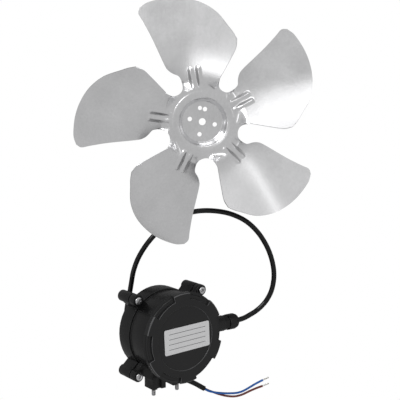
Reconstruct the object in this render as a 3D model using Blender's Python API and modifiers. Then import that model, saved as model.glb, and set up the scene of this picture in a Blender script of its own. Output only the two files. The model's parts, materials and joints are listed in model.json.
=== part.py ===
"""Condenser fan set: a closed fan motor with its supply cord, and the pressed impeller beside it.

The motor lies nose down on a bench, leaning on two ears and on the tip of its shaft.
It is modelled along its own +Z, from the shaft tip to the rear cover, and then leaned over.
"""
import math

import bmesh
import bpy
from mathutils import Matrix, Vector

MM = 0.001
GAP = 0.3 * MM
EMBED = 1.2 * MM
THROUGH = 1.0 * MM
INSET = 0.4 * MM

# Motor housing, measured from the plane of the ear faces
INNER_RADIUS = 39.2 * MM
BARREL_WALL = 2.3 * MM
FRONT_STEP = 1.1 * MM
WALL = 2.4 * MM
FACE_PROUD = 1.8 * MM
FACE_CHAMFER = 3.0 * MM
FRONT_HEIGHT = 19.3 * MM
GASKET_THICK = 1.1 * MM
BARREL_HEIGHT = 27.2 * MM
NECK_HEIGHT = 1.6 * MM
NECK_WALL = 1.4 * MM
BULKHEAD_THICK = 2.5 * MM
BULKHEAD_DROP = 8.2 * MM
BOARD_LEDGE = 2.4 * MM
LEDGE_RISE = 1.7 * MM

# Ears
EAR_STAND = 11.5 * MM
EAR_RADIUS = 5.6 * MM
EAR_COUNT = 4
EAR_REAR_LENGTH = 7.2 * MM
WEB_WIDTH = 9.0 * MM
WEB_INSET = 1.0 * MM
EAR_SCREW_RADIUS = 2.0 * MM
EAR_SCREW_LENGTH = 22.0 * MM
EAR_HEAD_RADIUS = 3.6 * MM
EAR_HEAD_HEIGHT = 2.2 * MM
EAR_HOLE_DEPTH = 5.0 * MM

# Rear cover
SKIRT_WALL = 4.0 * MM
COVER_SKIRT = 5.7 * MM
COVER_TOP_WALL = 2.7 * MM
COVER_EDGE = 0.9 * MM
RECESS_INSET = 13.5 * MM
RECESS_DEPTH = 0.8 * MM
POCKET_COUNT = 6
POCKET_WIDTH = math.radians(35)
POCKET_TURN = math.radians(5)
POCKET_LENGTH = 6.4 * MM
POCKET_DROP = 1.6 * MM
POCKET_SIDE = 1.7 * MM

# Nameplate
PLATE_HEIGHT = 25.0 * MM
PLATE_MARGIN = 0.5 * MM
PLATE_THICK = 0.4 * MM
PLATE_CORNER = 1.8 * MM
PLATE_SHIFT = 2.0 * MM
PLATE_TURN = math.radians(2.5)

# Foot blocks and their studs
FOOT_SPACING = 28.0 * MM
FOOT_WIDTH = 15.0 * MM
FOOT_SHIFT = 2.0 * MM
FOOT_STAND = 14.3 * MM
FOOT_START = 10.5 * MM
FOOT_DEPTH = 15.5 * MM
FOOT_SLOT_WIDTH = 5.0 * MM
FOOT_SLOT_DEPTH = 2.4 * MM
FLANGE_DEPTH = 8.0 * MM
FLANGE_MIDDLE = math.radians(238)
FLANGE_ANGLE = math.radians(26)
STUD_RADIUS = 2.0 * MM
STUD_PROUD = 8.2 * MM
STUD_HELD = 5.8 * MM
INSERT_WALL = 1.3 * MM

# Cable entry and gland
ENTRY_HEIGHT = 34.5 * MM
ENTRY_OFFSET = 1.5 * MM
ENTRY_RADIUS = 8.0 * MM
ENTRY_STAND = 17.0 * MM
PASSAGE_INSET = 2.2 * MM
SPIGOT_RADIUS = 5.0 * MM
SPIGOT_LENGTH = 10.0 * MM
HEX_FLATS = 14.0 * MM
HEX_HEIGHT = 5.4 * MM
COLLAR_RADIUS = 6.0 * MM
COLLAR_LENGTH = 4.5 * MM
NUT_RADIUS = 8.0 * MM
NUT_LENGTH = 12.4 * MM
NUT_MOUTH = 4.6 * MM
NUT_DOME = 5.0 * MM
NUT_EASE = 0.2 * MM
NUT_GRIPS = 10
GRIP_RADIUS = 0.8 * MM
SEAL_LENGTH = 3.0 * MM

# Rotor, bearings and stator
SHAFT_RADIUS = 3.7 * MM
PILOT_RADIUS = 3.0 * MM
PILOT_CHAMFER = 0.6 * MM
SHAFT_REACH = 23.5 * MM
HUB_FACE = 14.0 * MM
HUB_RADIUS = 17.0 * MM
HUB_THICK = 4.5 * MM
HUB_NECK_RADIUS = 8.5 * MM
HUB_NECK_GAP = 1.2 * MM
FIXING_CIRCLE = 12.7 * MM
FIXING_RADIUS = 1.65 * MM
FIXING_COUNT = 4
BEARING_RADIUS = 11.0 * MM
BEARING_WIDTH = 7.0 * MM
RING_WALL = 1.2 * MM
BALL_COUNT = 7
CAGE_WALL = 1.0 * MM
CAGE_RAIL = 0.5 * MM
SEAT_WALL = 2.5 * MM
SEAL_RADIUS = 9.0 * MM
SPRING_HEIGHT = 1.1 * MM
SPRING_STRIP = 0.4 * MM
SPRING_WAVES = 3
STACK_FRONT_GAP = 2.5 * MM
STACK_REAR_GAP = 2.8 * MM
STATOR_DEPTH = 19.7 * MM
MAGNET_WALL = 2.6 * MM
AIR_GAP = 0.7 * MM
TOOTH_COUNT = 9
TOOTH_WIDTH = 6.5 * MM
TOOTH_LIP = 1.6 * MM
SLOT_OPENING = 2.4 * MM
YOKE_THICK = 7.2 * MM
COIL_WALL = 2.4 * MM
BOBBIN_WALL = 0.6 * MM
INSULATOR_THICK = 2.0 * MM
RIB_COUNT = 6
RIB_DEPTH = 3.6 * MM
RIB_WIDTH = 4.0 * MM

# Electronics under the cover
BOARD_THICK = 1.6 * MM
BOARD_SCREW_INSET = 8.2 * MM
BOARD_SCREW_RADIUS = 1.3 * MM
BOARD_HEAD_HEIGHT = 1.6 * MM
BOARD_HOLE_FLOOR = 0.8 * MM
BOARD_SCREW_TURN = math.radians(75)
SLOT_WIDTH = 10.0 * MM
SLOT_LENGTH = 9.0 * MM
SLOT_INSET = 4.2 * MM
COMPONENT_INSET = 19.2 * MM
CAPACITOR_SHIFT = 3.0 * MM
CAPACITOR_RADIUS = 3.4 * MM
CAPACITOR_LENGTH = 20.0 * MM
CHOKE_RADIUS = 6.5 * MM
CHOKE_HEIGHT = 6.4 * MM
MODULE_WIDTH = 24.0 * MM
MODULE_DEPTH = 10.0 * MM
MODULE_HEIGHT = 4.0 * MM
TERMINAL_WIDTH = 8.0 * MM
TERMINAL_DEPTH = 12.0 * MM
TERMINAL_HEIGHT = 6.6 * MM
LEAD_RADIUS = 1.0 * MM

# Impeller
SHEET = 1.2 * MM
BLADE_COUNT = 5
BORE_RADIUS = 3.5 * MM
FLOOR_RADIUS = 20.3 * MM
RIM_RADIUS = 25.4 * MM
RING_RADIUS = 31.0 * MM
RING_HEIGHT = 27.0 * MM
RING_CROWN = 0.6 * MM
FLOOR_DROP = 7.5 * MM
FIXING_HOLE_RADIUS = 2.25 * MM
SPARE_HOLE_RADIUS = 2.1 * MM
SPARE_HOLE_CIRCLE = 13.7 * MM
SPARE_HOLE_ANGLE = 27.7
FIXING_ANGLE = 5.7
NOTCH_RADIUS = 10.3 * MM
NOTCH_REACH = 46.0 * MM
NOTCH_ANGLE = 58.0
FLANK_WIDTH = 12.0 * MM
BEAD_ANGLES = (23.0, 32.0)
BEAD_HALF_WIDTH = 2.9
BEAD_HEIGHT = 1.6 * MM

# The blade, in its own polar frame: radius as a share of its reach, angle in degrees
BLADE_REACH = 127.5 * MM
BLADE_BASE = 22.0 * MM
EDGE_LEADING = ((0.424, -2.6), (0.518, -3.8), (0.604, -4.2), (0.667, -2.6))
EDGE_OUTER = (
    (0.706, 0.9), (0.737, 4.0), (0.831, 11.5), (0.902, 19.0), (0.949, 26.5), (0.980, 34.0),
    (1.000, 42.0), (0.992, 46.4),
)
EDGE_TRAILING = (
    (0.392, 45.5), (0.431, 49.5), (0.471, 51.5), (0.525, 51.5), (0.745, 48.8), (0.885, 48.3),
    (0.957, 48.2),
)
CREASE_START = (0.392, 38.0)
CREASE_END = (0.925, 22.0)
WING_SLOPE = 0.40
CURL_SLOPE = 0.20
CURL_WIDTH = 12.0 * MM
ROOT_DROP = 7.2 * MM
ROOT_FADE = 12.0 * MM

# Cord
CORD_RADIUS = 2.6 * MM
CORE_WIRE_RADIUS = 1.1 * MM
TIP_RADIUS = 0.75 * MM
CORD_BORE = CORD_RADIUS + GAP
CORD_HIDDEN = 1.4 * MM
CORD_LEAD = 2.5 * MM

# Layout on the bench
SET_CENTRE = Vector((-6.06 * MM, 5.96 * MM, 0.0))
IMPELLER_PLACE = Vector((0.3 * MM, 80.5 * MM, 0.0))
IMPELLER_TURN = math.radians(71.9)
MOTOR_PLACE = Vector((-48.0 * MM, -125.0 * MM, 0.0))

# Radii that follow the housing's bore
BODY_RADIUS = INNER_RADIUS + BARREL_WALL
FRONT_RADIUS = BODY_RADIUS + FRONT_STEP
EAR_CIRCLE = BODY_RADIUS + EAR_STAND
FOOT_REACH = BODY_RADIUS + FOOT_STAND
ENTRY_REACH = BODY_RADIUS + ENTRY_STAND
COVER_RADIUS = INNER_RADIUS + NECK_WALL + GAP + SKIRT_WALL
RECESS_RADIUS = COVER_RADIUS - RECESS_INSET
POCKET_INNER = COVER_RADIUS - POCKET_LENGTH
PLATE_REACH = math.sqrt((RECESS_RADIUS - PLATE_MARGIN) ** 2 - (PLATE_HEIGHT / 2) ** 2)
INNER_END = INNER_RADIUS - PASSAGE_INSET
CORE_RADIUS = INNER_RADIUS - STATOR_DEPTH
BOARD_SCREW_CIRCLE = INNER_RADIUS - BOARD_SCREW_INSET
SLOT_OUTER = INNER_RADIUS - SLOT_INSET
SLOT_INNER = SLOT_OUTER - SLOT_LENGTH
COMPONENT_REACH = INNER_RADIUS - COMPONENT_INSET

# Heights along the motor's axis
REAR_RIM = FRONT_HEIGHT + GASKET_THICK + 2 * GAP
BARREL_TOP = REAR_RIM + BARREL_HEIGHT
NECK_TOP = BARREL_TOP + NECK_HEIGHT
COVER_SEAT = BARREL_TOP + GAP
COVER_FACE = COVER_SEAT + COVER_SKIRT
COVER_UNDER = COVER_FACE - COVER_TOP_WALL
BULKHEAD_TOP = BARREL_TOP - BULKHEAD_DROP
BULKHEAD_LOW = BULKHEAD_TOP - BULKHEAD_THICK
BOARD_SEAT = BULKHEAD_TOP + LEDGE_RISE
BOARD_LOW = BOARD_SEAT + GAP
BOARD_TOP = BOARD_LOW + BOARD_THICK
EAR_TOP = REAR_RIM + EAR_REAR_LENGTH
FRONT_FACE = -FACE_PROUD
FRONT_FLOOR = FRONT_FACE + WALL
FRONT_BEARING = FRONT_FLOOR + 3 * GAP
REAR_BEARING = BULKHEAD_LOW - SPRING_HEIGHT - 2 * GAP - BEARING_WIDTH
STACK_START = FRONT_BEARING + BEARING_WIDTH + STACK_FRONT_GAP
STACK_TOP = REAR_BEARING - STACK_REAR_GAP
STACK_LENGTH = STACK_TOP - STACK_START
MAGNET_RADIUS = CORE_RADIUS + GAP + MAGNET_WALL
STATOR_BORE = MAGNET_RADIUS + AIR_GAP
STATOR_RADIUS = INNER_RADIUS - GAP
SLOT_ROOT = STATOR_RADIUS - YOKE_THICK
SPIGOT_REACH = ENTRY_REACH - SPIGOT_LENGTH
HEX_REACH = ENTRY_REACH + GAP
COLLAR_REACH = HEX_REACH + HEX_HEIGHT
NUT_REACH = COLLAR_REACH + GAP
CORD_START = NUT_REACH + NUT_LENGTH - CORD_HIDDEN

# The lean puts two ears and the shaft tip on the bench
EAR_SIDE = EAR_CIRCLE * math.cos(math.pi / EAR_COUNT) + EAR_RADIUS
TIP_RADIUS_LEFT = PILOT_RADIUS - PILOT_CHAMFER
LEAN = math.atan2(SHAFT_REACH, EAR_SIDE - TIP_RADIUS_LEFT)
LIFT = EAR_SIDE * math.sin(LEAN)

# Routes on the bench, chosen by hand along the photographed cord, millimetres
CORD_ROUTE = (
    (41.5, -123.3, 9.6), (46.5, -122.4, 6.6), (52.0, -120.2, 4.3), (58.0, -117.0, 3.1),
    (64.5, -111.6, 2.7), (70.3, -104.3, 2.65), (74.9, -94.0, 2.65), (76.9, -80.1, 2.65),
    (75.0, -65.1, 2.65), (69.5, -49.8, 2.65), (60.4, -35.0, 2.65), (48.5, -23.2, 2.65),
    (35.4, -16.0, 2.65), (22.4, -12.2, 2.65), (6.0, -10.6, 2.65), (-9.3, -12.1, 2.65),
    (-24.5, -17.4, 2.65), (-37.0, -25.4, 2.65), (-47.6, -35.7, 2.65), (-56.6, -46.8, 2.65),
    (-63.9, -59.3, 2.65), (-68.6, -72.3, 2.65), (-71.0, -85.4, 2.65), (-73.2, -98.0, 2.65),
    (-75.6, -111.0, 2.65), (-76.4, -125.0, 2.65), (-73.4, -140.0, 2.65), (-66.0, -154.6, 2.65),
    (-54.6, -167.4, 2.65), (-40.5, -177.4, 2.65), (-24.5, -184.8, 2.65), (-8.5, -191.4, 2.65),
    (4.5, -199.0, 2.65),
)
BLUE_ROUTE = (
    (4.9, -199.2, 3.85), (9.0, -201.3, 3.75), (13.5, -202.6, 3.65), (18.0, -203.6, 3.4),
    (22.3, -204.3, 2.9), (27.5, -205.1, 2.0), (32.9, -205.5, 1.25), (38.2, -205.4, 1.15),
    (43.4, -204.3, 1.15), (48.0, -202.3, 1.15), (52.2, -199.9, 1.15), (59.5, -195.7, 1.15),
    (66.8, -192.1, 1.15),
)
BROWN_ROUTE = (
    (4.9, -199.2, 1.45), (9.0, -201.5, 1.25), (13.3, -203.3, 1.15), (17.0, -204.9, 1.15),
    (21.2, -206.4, 1.15), (27.7, -208.2, 1.15), (35.6, -209.1, 1.15), (41.8, -208.2, 1.15),
    (47.0, -206.4, 1.15), (52.4, -203.9, 1.15), (59.5, -201.0, 1.15), (66.5, -198.6, 1.15),
)
BLUE_TIP_ROUTE = ((67.2, -191.9, 1.15), (72.9, -189.5, 1.0))
BROWN_TIP_ROUTE = ((66.9, -198.45, 1.15), (73.1, -196.2, 1.0))

# Materials: colour, roughness, metallic
FINISHES = {
    "black_plastic": ((0.030, 0.030, 0.032), 0.55, 0.0),
    "cover_plastic": ((0.034, 0.034, 0.036), 0.50, 0.0),
    "seal_rubber": ((0.020, 0.020, 0.020), 0.80, 0.0),
    "cord_jacket": ((0.015, 0.015, 0.016), 0.45, 0.0),
    "blue_core": ((0.030, 0.130, 0.520), 0.40, 0.0),
    "brown_core": ((0.200, 0.055, 0.040), 0.40, 0.0),
    "tinned_copper": ((0.720, 0.700, 0.670), 0.30, 1.0),
    "pressed_aluminium": ((0.600, 0.600, 0.610), 0.38, 1.0),
    "bright_steel": ((0.620, 0.620, 0.630), 0.30, 1.0),
    "plated_brass": ((0.700, 0.560, 0.300), 0.35, 1.0),
    "nameplate": ((0.660, 0.660, 0.670), 0.45, 0.4),
    "electrical_steel": ((0.380, 0.380, 0.390), 0.50, 1.0),
    "copper_winding": ((0.680, 0.300, 0.140), 0.40, 1.0),
    "insulation": ((0.780, 0.760, 0.680), 0.60, 0.0),
    "magnet": ((0.120, 0.120, 0.125), 0.50, 0.5),
    "board": ((0.040, 0.230, 0.090), 0.50, 0.0),
    "component": ((0.050, 0.050, 0.055), 0.45, 0.0),
}

for leftover in list(bpy.data.objects):
    bpy.data.objects.remove(leftover, do_unlink=True)

part_collection = bpy.data.collections.new("condenser_fan_motor")
cutter_collection = bpy.data.collections.new("cutters")
for collection in (part_collection, cutter_collection):
    bpy.context.scene.collection.children.link(collection)


def empty(name, parent=None, location=(0, 0, 0), rotation=(0, 0, 0)):
    frame = bpy.data.objects.new(name, None)
    part_collection.objects.link(frame)
    frame.parent = parent
    frame.location = location
    frame.rotation_euler = rotation
    return frame


bench = empty("bench", location=-SET_CENTRE)
motor = empty("motor_axis", bench, MOTOR_PLACE + Vector((0, 0, LIFT)), (0, LEAN, 0))
gland = empty("gland_axis", motor, (0, ENTRY_OFFSET, ENTRY_HEIGHT), (0, math.pi / 2, 0))
foot_height = FOOT_START + FOOT_DEPTH / 2
foot = empty("foot_axis", motor, (0, 0, foot_height), (math.pi / 2, 0, 0))


def finish(name):
    material = bpy.data.materials.get(name)
    if material is None:
        colour, roughness, metallic = FINISHES[name]
        material = bpy.data.materials.new(name)
        material.use_nodes = True
        shader = material.node_tree.nodes["Principled BSDF"]
        shader.inputs["Base Color"].default_value = (*colour, 1.0)
        shader.inputs["Roughness"].default_value = roughness
        shader.inputs["Metallic"].default_value = metallic
    return material


def place(name, data, finish_name, parent):
    """An object in the part's collection, or a cutter when it has no finish."""
    body = bpy.data.objects.new(name, data)
    body.parent = parent
    if finish_name is None:
        cutter_collection.objects.link(body)
        body.hide_render = True
        body.display_type = "WIRE"
    else:
        part_collection.objects.link(body)
        if not data.materials:
            data.materials.append(finish(finish_name))
    return body


def smooth(mesh):
    mesh.shade_smooth()
    mesh.set_sharp_from_angle(angle=math.radians(35))
    return mesh


def combine(body, other, operation):
    step = body.modifiers.new(f"{operation.lower()} {other.name}", "BOOLEAN")
    step.operation = operation
    step.object = other
    return body


def turned(name, profile, finish_name, parent=None, steps=40):
    """A turned shape. The profile is (radius, height) pairs down the outer side."""
    mesh = bpy.data.meshes.new(name)
    on_axis = profile[0][0] == 0 and profile[-1][0] == 0
    count = len(profile)
    edges = [(i, (i + 1) % count) for i in range(count - 1 if on_axis else count)]
    mesh.from_pydata([(radius, 0, height) for radius, height in profile], edges, [])
    body = place(name, mesh, finish_name, parent or motor)
    screw = body.modifiers.new("turn", "SCREW")
    screw.axis = "Z"
    screw.steps = steps
    screw.render_steps = steps
    screw.use_merge_vertices = True
    screw.merge_threshold = 0.00001
    return body


def ring(name, inner, outer, low, high, finish_name, parent=None, steps=28):
    profile = [(outer, high), (outer, low), (inner, low), (inner, high)]
    return turned(name, profile, finish_name, parent, steps)


def shapes(name, build, finish_name, parent=None):
    """One object that holds every solid the build function adds to its mesh."""
    mesh = bpy.data.meshes.new(name)
    work = bmesh.new()
    build(work)
    work.to_mesh(mesh)
    work.free()
    return place(name, smooth(mesh), finish_name, parent or motor)


def add_cylinder(work, radius, low, high, at=(0, 0), segments=16):
    made = bmesh.ops.create_cone(
        work, cap_ends=True, segments=segments, radius1=radius, radius2=radius, depth=high - low
    )
    bmesh.ops.translate(work, vec=(at[0], at[1], (low + high) / 2), verts=made["verts"])
    return made["verts"]


def add_box(work, low, high, turn=0.0):
    made = bmesh.ops.create_cube(work, size=1)
    low, high = Vector(low), Vector(high)
    bmesh.ops.scale(work, vec=high - low, verts=made["verts"])
    bmesh.ops.translate(work, vec=(low + high) / 2, verts=made["verts"])
    bmesh.ops.rotate(work, matrix=Matrix.Rotation(turn, 3, "Z"), verts=made["verts"])
    return made["verts"]


def on_circle(count, radius, start=0.0):
    angles = [start + 2 * math.pi * k / count for k in range(count)]
    return [(radius * math.cos(a), radius * math.sin(a)) for a in angles]


def plate_mesh(name, outlines, low, high):
    """A flat outline with its holes, filled and thickened, as a closed mesh."""
    curve = bpy.data.curves.new(name, "CURVE")
    curve.dimensions = "2D"
    curve.fill_mode = "BOTH"
    curve.extrude = (high - low) / 2
    for outline in outlines:
        spline = curve.splines.new("POLY")
        spline.points.add(len(outline) - 1)
        for point, (x, y) in zip(spline.points, outline):
            point.co = (x, y, 0, 1)
        spline.use_cyclic_u = True
    drawn = bpy.data.objects.new(name, curve)
    part_collection.objects.link(drawn)
    bpy.context.view_layer.update()
    seen = drawn.evaluated_get(bpy.context.evaluated_depsgraph_get())
    mesh = bpy.data.meshes.new_from_object(seen)
    bpy.data.objects.remove(drawn)
    work = bmesh.new()
    work.from_mesh(mesh)
    bmesh.ops.remove_doubles(work, verts=work.verts, dist=0.00001)
    bmesh.ops.translate(work, vec=(0, 0, (low + high) / 2), verts=work.verts)
    work.to_mesh(mesh)
    work.free()
    return mesh


def ring_cutter(name, mesh, count, start):
    """Copies of one closed mesh, turned about the motor's axis, as one cutter."""
    def build(work):
        for k in range(count):
            before = set(work.verts)
            work.from_mesh(mesh)
            fresh = [v for v in work.verts if v not in before]
            turn = Matrix.Rotation(start + 2 * math.pi * k / count, 3, "Z")
            bmesh.ops.rotate(work, matrix=turn, verts=fresh)
    return shapes(name, build, None)


def sector(inner, outer, middle, width, steps=6):
    """A piece of a flat ring as an outline."""
    angles = [middle + width * (i / steps - 0.5) for i in range(steps + 1)]
    outside = [(outer * math.cos(a), outer * math.sin(a)) for a in angles]
    inside = [(inner * math.cos(a), inner * math.sin(a)) for a in reversed(angles)]
    return outside + inside


def front_shell():
    seat_low = FRONT_BEARING - GAP
    seat_radius = BEARING_RADIUS + GAP
    seat_high = FRONT_BEARING + BEARING_WIDTH + GAP
    body = turned("front_shell", [
        (FRONT_RADIUS, FRONT_HEIGHT),
        (FRONT_RADIUS, FRONT_FACE + FACE_CHAMFER),
        (FRONT_RADIUS - FACE_CHAMFER, FRONT_FACE),
        (SEAL_RADIUS + GAP, FRONT_FACE),
        (SEAL_RADIUS + GAP, seat_low),
        (seat_radius, seat_low),
        (seat_radius, seat_high),
        (seat_radius + SEAT_WALL, seat_high),
        (seat_radius + SEAT_WALL, FRONT_FLOOR),
        (INNER_RADIUS, FRONT_FLOOR),
        (INNER_RADIUS, FRONT_HEIGHT),
    ], "black_plastic", steps=48)
    ribs_high = STACK_START - GAP

    def ribs(work):
        for k in range(RIB_COUNT):
            low = (INNER_RADIUS - RIB_DEPTH, -RIB_WIDTH / 2, FRONT_FLOOR - EMBED)
            high = (INNER_RADIUS + EMBED, RIB_WIDTH / 2, ribs_high)
            add_box(work, low, high, 2 * math.pi * k / RIB_COUNT)
    combine(body, shapes("stator_ribs", ribs, None), "UNION")
    combine(body, ear_webs("front_webs", WEB_INSET, FRONT_HEIGHT - INSET), "UNION")
    combine(body, ear_posts("front_bosses", EAR_RADIUS, 0, FRONT_HEIGHT), "UNION")
    drill_low = EAR_TOP - EAR_SCREW_LENGTH
    hole = EAR_SCREW_RADIUS + GAP
    combine(body, ear_posts("front_screw_holes", hole, drill_low, FRONT_HEIGHT + THROUGH), "DIFFERENCE")
    combine(body, ear_posts("mounting_holes", hole, -THROUGH, EAR_HOLE_DEPTH), "DIFFERENCE")


def ear_webs(name, low, high):
    def build(work):
        for k in range(EAR_COUNT):
            inner = (BODY_RADIUS - WEB_INSET, -WEB_WIDTH / 2, low)
            outer = (EAR_CIRCLE, WEB_WIDTH / 2, high)
            add_box(work, inner, outer, math.pi / EAR_COUNT + 2 * math.pi * k / EAR_COUNT)
    return shapes(name, build, None)


def ear_posts(name, radius, low, high, finish_name=None):
    def build(work):
        for at in on_circle(EAR_COUNT, EAR_CIRCLE, math.pi / EAR_COUNT):
            add_cylinder(work, radius, low, high, at)
    return shapes(name, build, finish_name)


def rear_shell():
    pocket = BEARING_RADIUS + GAP
    neck = INNER_RADIUS + NECK_WALL
    body = turned("rear_shell", [
        (0, BULKHEAD_TOP),
        (INNER_RADIUS - BOARD_LEDGE, BULKHEAD_TOP),
        (INNER_RADIUS - BOARD_LEDGE, BOARD_SEAT),
        (INNER_RADIUS, BOARD_SEAT),
        (INNER_RADIUS, NECK_TOP),
        (neck, NECK_TOP),
        (neck, BARREL_TOP),
        (BODY_RADIUS, BARREL_TOP),
        (BODY_RADIUS, REAR_RIM),
        (INNER_RADIUS, REAR_RIM),
        (INNER_RADIUS, BULKHEAD_LOW),
        (pocket + SEAT_WALL, BULKHEAD_LOW),
        (pocket + SEAT_WALL, REAR_BEARING),
        (pocket, REAR_BEARING),
        (pocket, BULKHEAD_LOW),
        (0, BULKHEAD_LOW),
    ], "black_plastic", steps=48)
    combine(body, ear_webs("rear_webs", REAR_RIM + INSET, EAR_TOP - WEB_INSET), "UNION")
    combine(body, ear_posts("rear_bosses", EAR_RADIUS, REAR_RIM, EAR_TOP), "UNION")
    combine(body, shapes("foot_blocks", foot_blocks, None), "UNION")
    combine(body, shapes("foot_arms", foot_arms, None), "UNION")
    low, high = REAR_RIM + INSET, FOOT_START + FOOT_DEPTH - 2 * INSET
    for middle in (FLANGE_MIDDLE, -FLANGE_MIDDLE - math.pi):
        outline = sector(INNER_RADIUS + EMBED, BODY_RADIUS + FLANGE_DEPTH, middle, FLANGE_ANGLE)
        flange = place("foot_flange", plate_mesh("foot_flange", [outline], low, high), None, motor)
        combine(body, flange, "UNION")
    combine(body, shapes("foot_slots", foot_slots, None), "DIFFERENCE")

    def entry(work):
        add_cylinder(work, ENTRY_RADIUS, INNER_RADIUS + EMBED, ENTRY_REACH, segments=28)
    combine(body, shapes("entry_boss", entry, None, gland), "UNION")
    hole = EAR_SCREW_RADIUS + GAP
    combine(body, ear_posts("rear_screw_holes", hole, REAR_RIM - THROUGH, EAR_TOP + THROUGH), "DIFFERENCE")

    def bores(work):
        add_cylinder(work, SPIGOT_RADIUS + GAP, SPIGOT_REACH - GAP, ENTRY_REACH + THROUGH, segments=28)
    combine(body, shapes("spigot_bore", bores, None, gland), "DIFFERENCE")

    def passage(work):
        add_cylinder(work, CORD_BORE, INNER_END - THROUGH, SPIGOT_REACH + THROUGH)
    combine(body, shapes("cord_passage", passage, None, gland), "DIFFERENCE")

    def stud_bores(work):
        for side in (-1, 1):
            low = FOOT_REACH - STUD_HELD - GAP
            bore = STUD_RADIUS + 2 * GAP + INSERT_WALL
            add_cylinder(work, bore, low, FOOT_REACH + THROUGH, (side * FOOT_SPACING / 2, 0))
    combine(body, shapes("stud_bores", stud_bores, None, foot), "DIFFERENCE")

    def lead_slot(work):
        low = (SLOT_INNER, -SLOT_WIDTH / 2, BULKHEAD_LOW - THROUGH)
        high = (SLOT_OUTER, SLOT_WIDTH / 2, BULKHEAD_TOP + THROUGH)
        add_box(work, low, high)
    combine(body, shapes("lead_slot", lead_slot, None), "DIFFERENCE")

    def standoffs(work):
        for at in board_screw_places():
            add_cylinder(work, 2.4 * BOARD_SCREW_RADIUS, BULKHEAD_TOP - EMBED, BOARD_SEAT, at, 14)
    combine(body, shapes("standoffs", standoffs, None), "UNION")

    def standoff_holes(work):
        low = BULKHEAD_LOW + BOARD_HOLE_FLOOR
        for at in board_screw_places():
            add_cylinder(work, BOARD_SCREW_RADIUS + GAP, low, BOARD_SEAT + THROUGH, at, 12)
    combine(body, shapes("standoff_holes", standoff_holes, None), "DIFFERENCE")


def foot_span(side, inset):
    """The sideways ends of a foot block, which stands a little nearer the middle than its stud."""
    middle = side * (FOOT_SPACING / 2 - FOOT_SHIFT)
    return middle - FOOT_WIDTH / 2 + inset, middle + FOOT_WIDTH / 2 - inset


def foot_blocks(work):
    for side in (-1, 1):
        left, right = foot_span(side, 0.0)
        low = (left, -FOOT_REACH, FOOT_START)
        add_box(work, low, (right, -FRONT_RADIUS - 2 * GAP, FOOT_START + FOOT_DEPTH))


def foot_arms(work):
    for side in (-1, 1):
        left, right = foot_span(side, INSET)
        nearest = min(abs(left), abs(right))
        inside = -math.sqrt(BODY_RADIUS ** 2 - nearest ** 2) + EMBED
        low = (left, -FRONT_RADIUS - 2 * GAP - EMBED, REAR_RIM + INSET)
        add_box(work, low, (right, inside, FOOT_START + FOOT_DEPTH - INSET))


def foot_slots(work):
    for side in (-1, 1):
        middle = side * (FOOT_SPACING / 2 - FOOT_SHIFT)
        floor = FOOT_START + FOOT_DEPTH - FOOT_SLOT_DEPTH
        low = (middle - FOOT_SLOT_WIDTH / 2, -FOOT_REACH - THROUGH, floor)
        high = (middle + FOOT_SLOT_WIDTH / 2, -BODY_RADIUS - EMBED, floor + FOOT_SLOT_DEPTH + THROUGH)
        add_box(work, low, high)


def board_screw_places():
    return on_circle(3, BOARD_SCREW_CIRCLE, BOARD_SCREW_TURN)


def rear_cover():
    skirt_inner = INNER_RADIUS + NECK_WALL + GAP
    body = turned("rear_cover", [
        (0, COVER_FACE - RECESS_DEPTH),
        (RECESS_RADIUS, COVER_FACE - RECESS_DEPTH),
        (RECESS_RADIUS + RECESS_DEPTH, COVER_FACE),
        (COVER_RADIUS - COVER_EDGE, COVER_FACE),
        (COVER_RADIUS, COVER_FACE - COVER_EDGE),
        (COVER_RADIUS, COVER_SEAT),
        (skirt_inner, COVER_SEAT),
        (skirt_inner, COVER_UNDER),
        (0, COVER_UNDER),
    ], "cover_plastic", steps=60)
    beyond = COVER_RADIUS + THROUGH
    face = plate_mesh(
        "pocket_face", [sector(POCKET_INNER, beyond, 0, POCKET_WIDTH)],
        COVER_FACE - POCKET_DROP, COVER_FACE + THROUGH,
    )
    side = plate_mesh(
        "pocket_side", [sector(COVER_RADIUS - POCKET_SIDE, beyond, 0, POCKET_WIDTH)],
        COVER_SEAT - THROUGH, COVER_FACE,
    )
    combine(body, ring_cutter("face_pockets", face, POCKET_COUNT, POCKET_TURN), "DIFFERENCE")
    combine(body, ring_cutter("side_pockets", side, POCKET_COUNT, POCKET_TURN), "DIFFERENCE")


def nameplate():
    outline = []
    half_width = PLATE_REACH - PLATE_SHIFT
    for k, (sx, sy) in enumerate(((1, 1), (-1, 1), (-1, -1), (1, -1))):
        cx = PLATE_SHIFT + sx * (half_width - PLATE_CORNER)
        cy = sy * (PLATE_HEIGHT / 2 - PLATE_CORNER)
        for i in range(4):
            a = math.pi / 2 * (k + i / 3)
            outline.append((cx + PLATE_CORNER * math.cos(a), cy + PLATE_CORNER * math.sin(a)))
    low = COVER_FACE - RECESS_DEPTH + GAP
    mesh = plate_mesh("nameplate", [outline], low, low + PLATE_THICK)
    mesh.transform(Matrix.Rotation(PLATE_TURN, 4, "Z"))
    place("nameplate", mesh, "nameplate", motor)


def screw_mesh(name, head_radius, head_height, shank_radius, length, steps=14):
    """A pan head screw with its seat at height 0 and its shank below, turned by hand."""
    crown = 0.35 * head_height
    profile = [
        (0, head_height), (head_radius * 0.7, head_height), (head_radius, head_height - crown),
        (head_radius, 0), (shank_radius, 0), (shank_radius, -length), (0, -length),
    ]
    body = turned(name, profile, None, steps=steps)
    bpy.context.view_layer.update()
    seen = body.evaluated_get(bpy.context.evaluated_depsgraph_get())
    mesh = bpy.data.meshes.new_from_object(seen)
    bpy.data.objects.remove(body)
    return mesh


def scattered(name, mesh, places, height, finish_name, parent=None):
    """One object for each place, all of them sharing one mesh."""
    for number, (x, y) in enumerate(places, 1):
        body = place(f"{name}_{number}", mesh, finish_name, parent or motor)
        body.location = (x, y, height)


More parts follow.
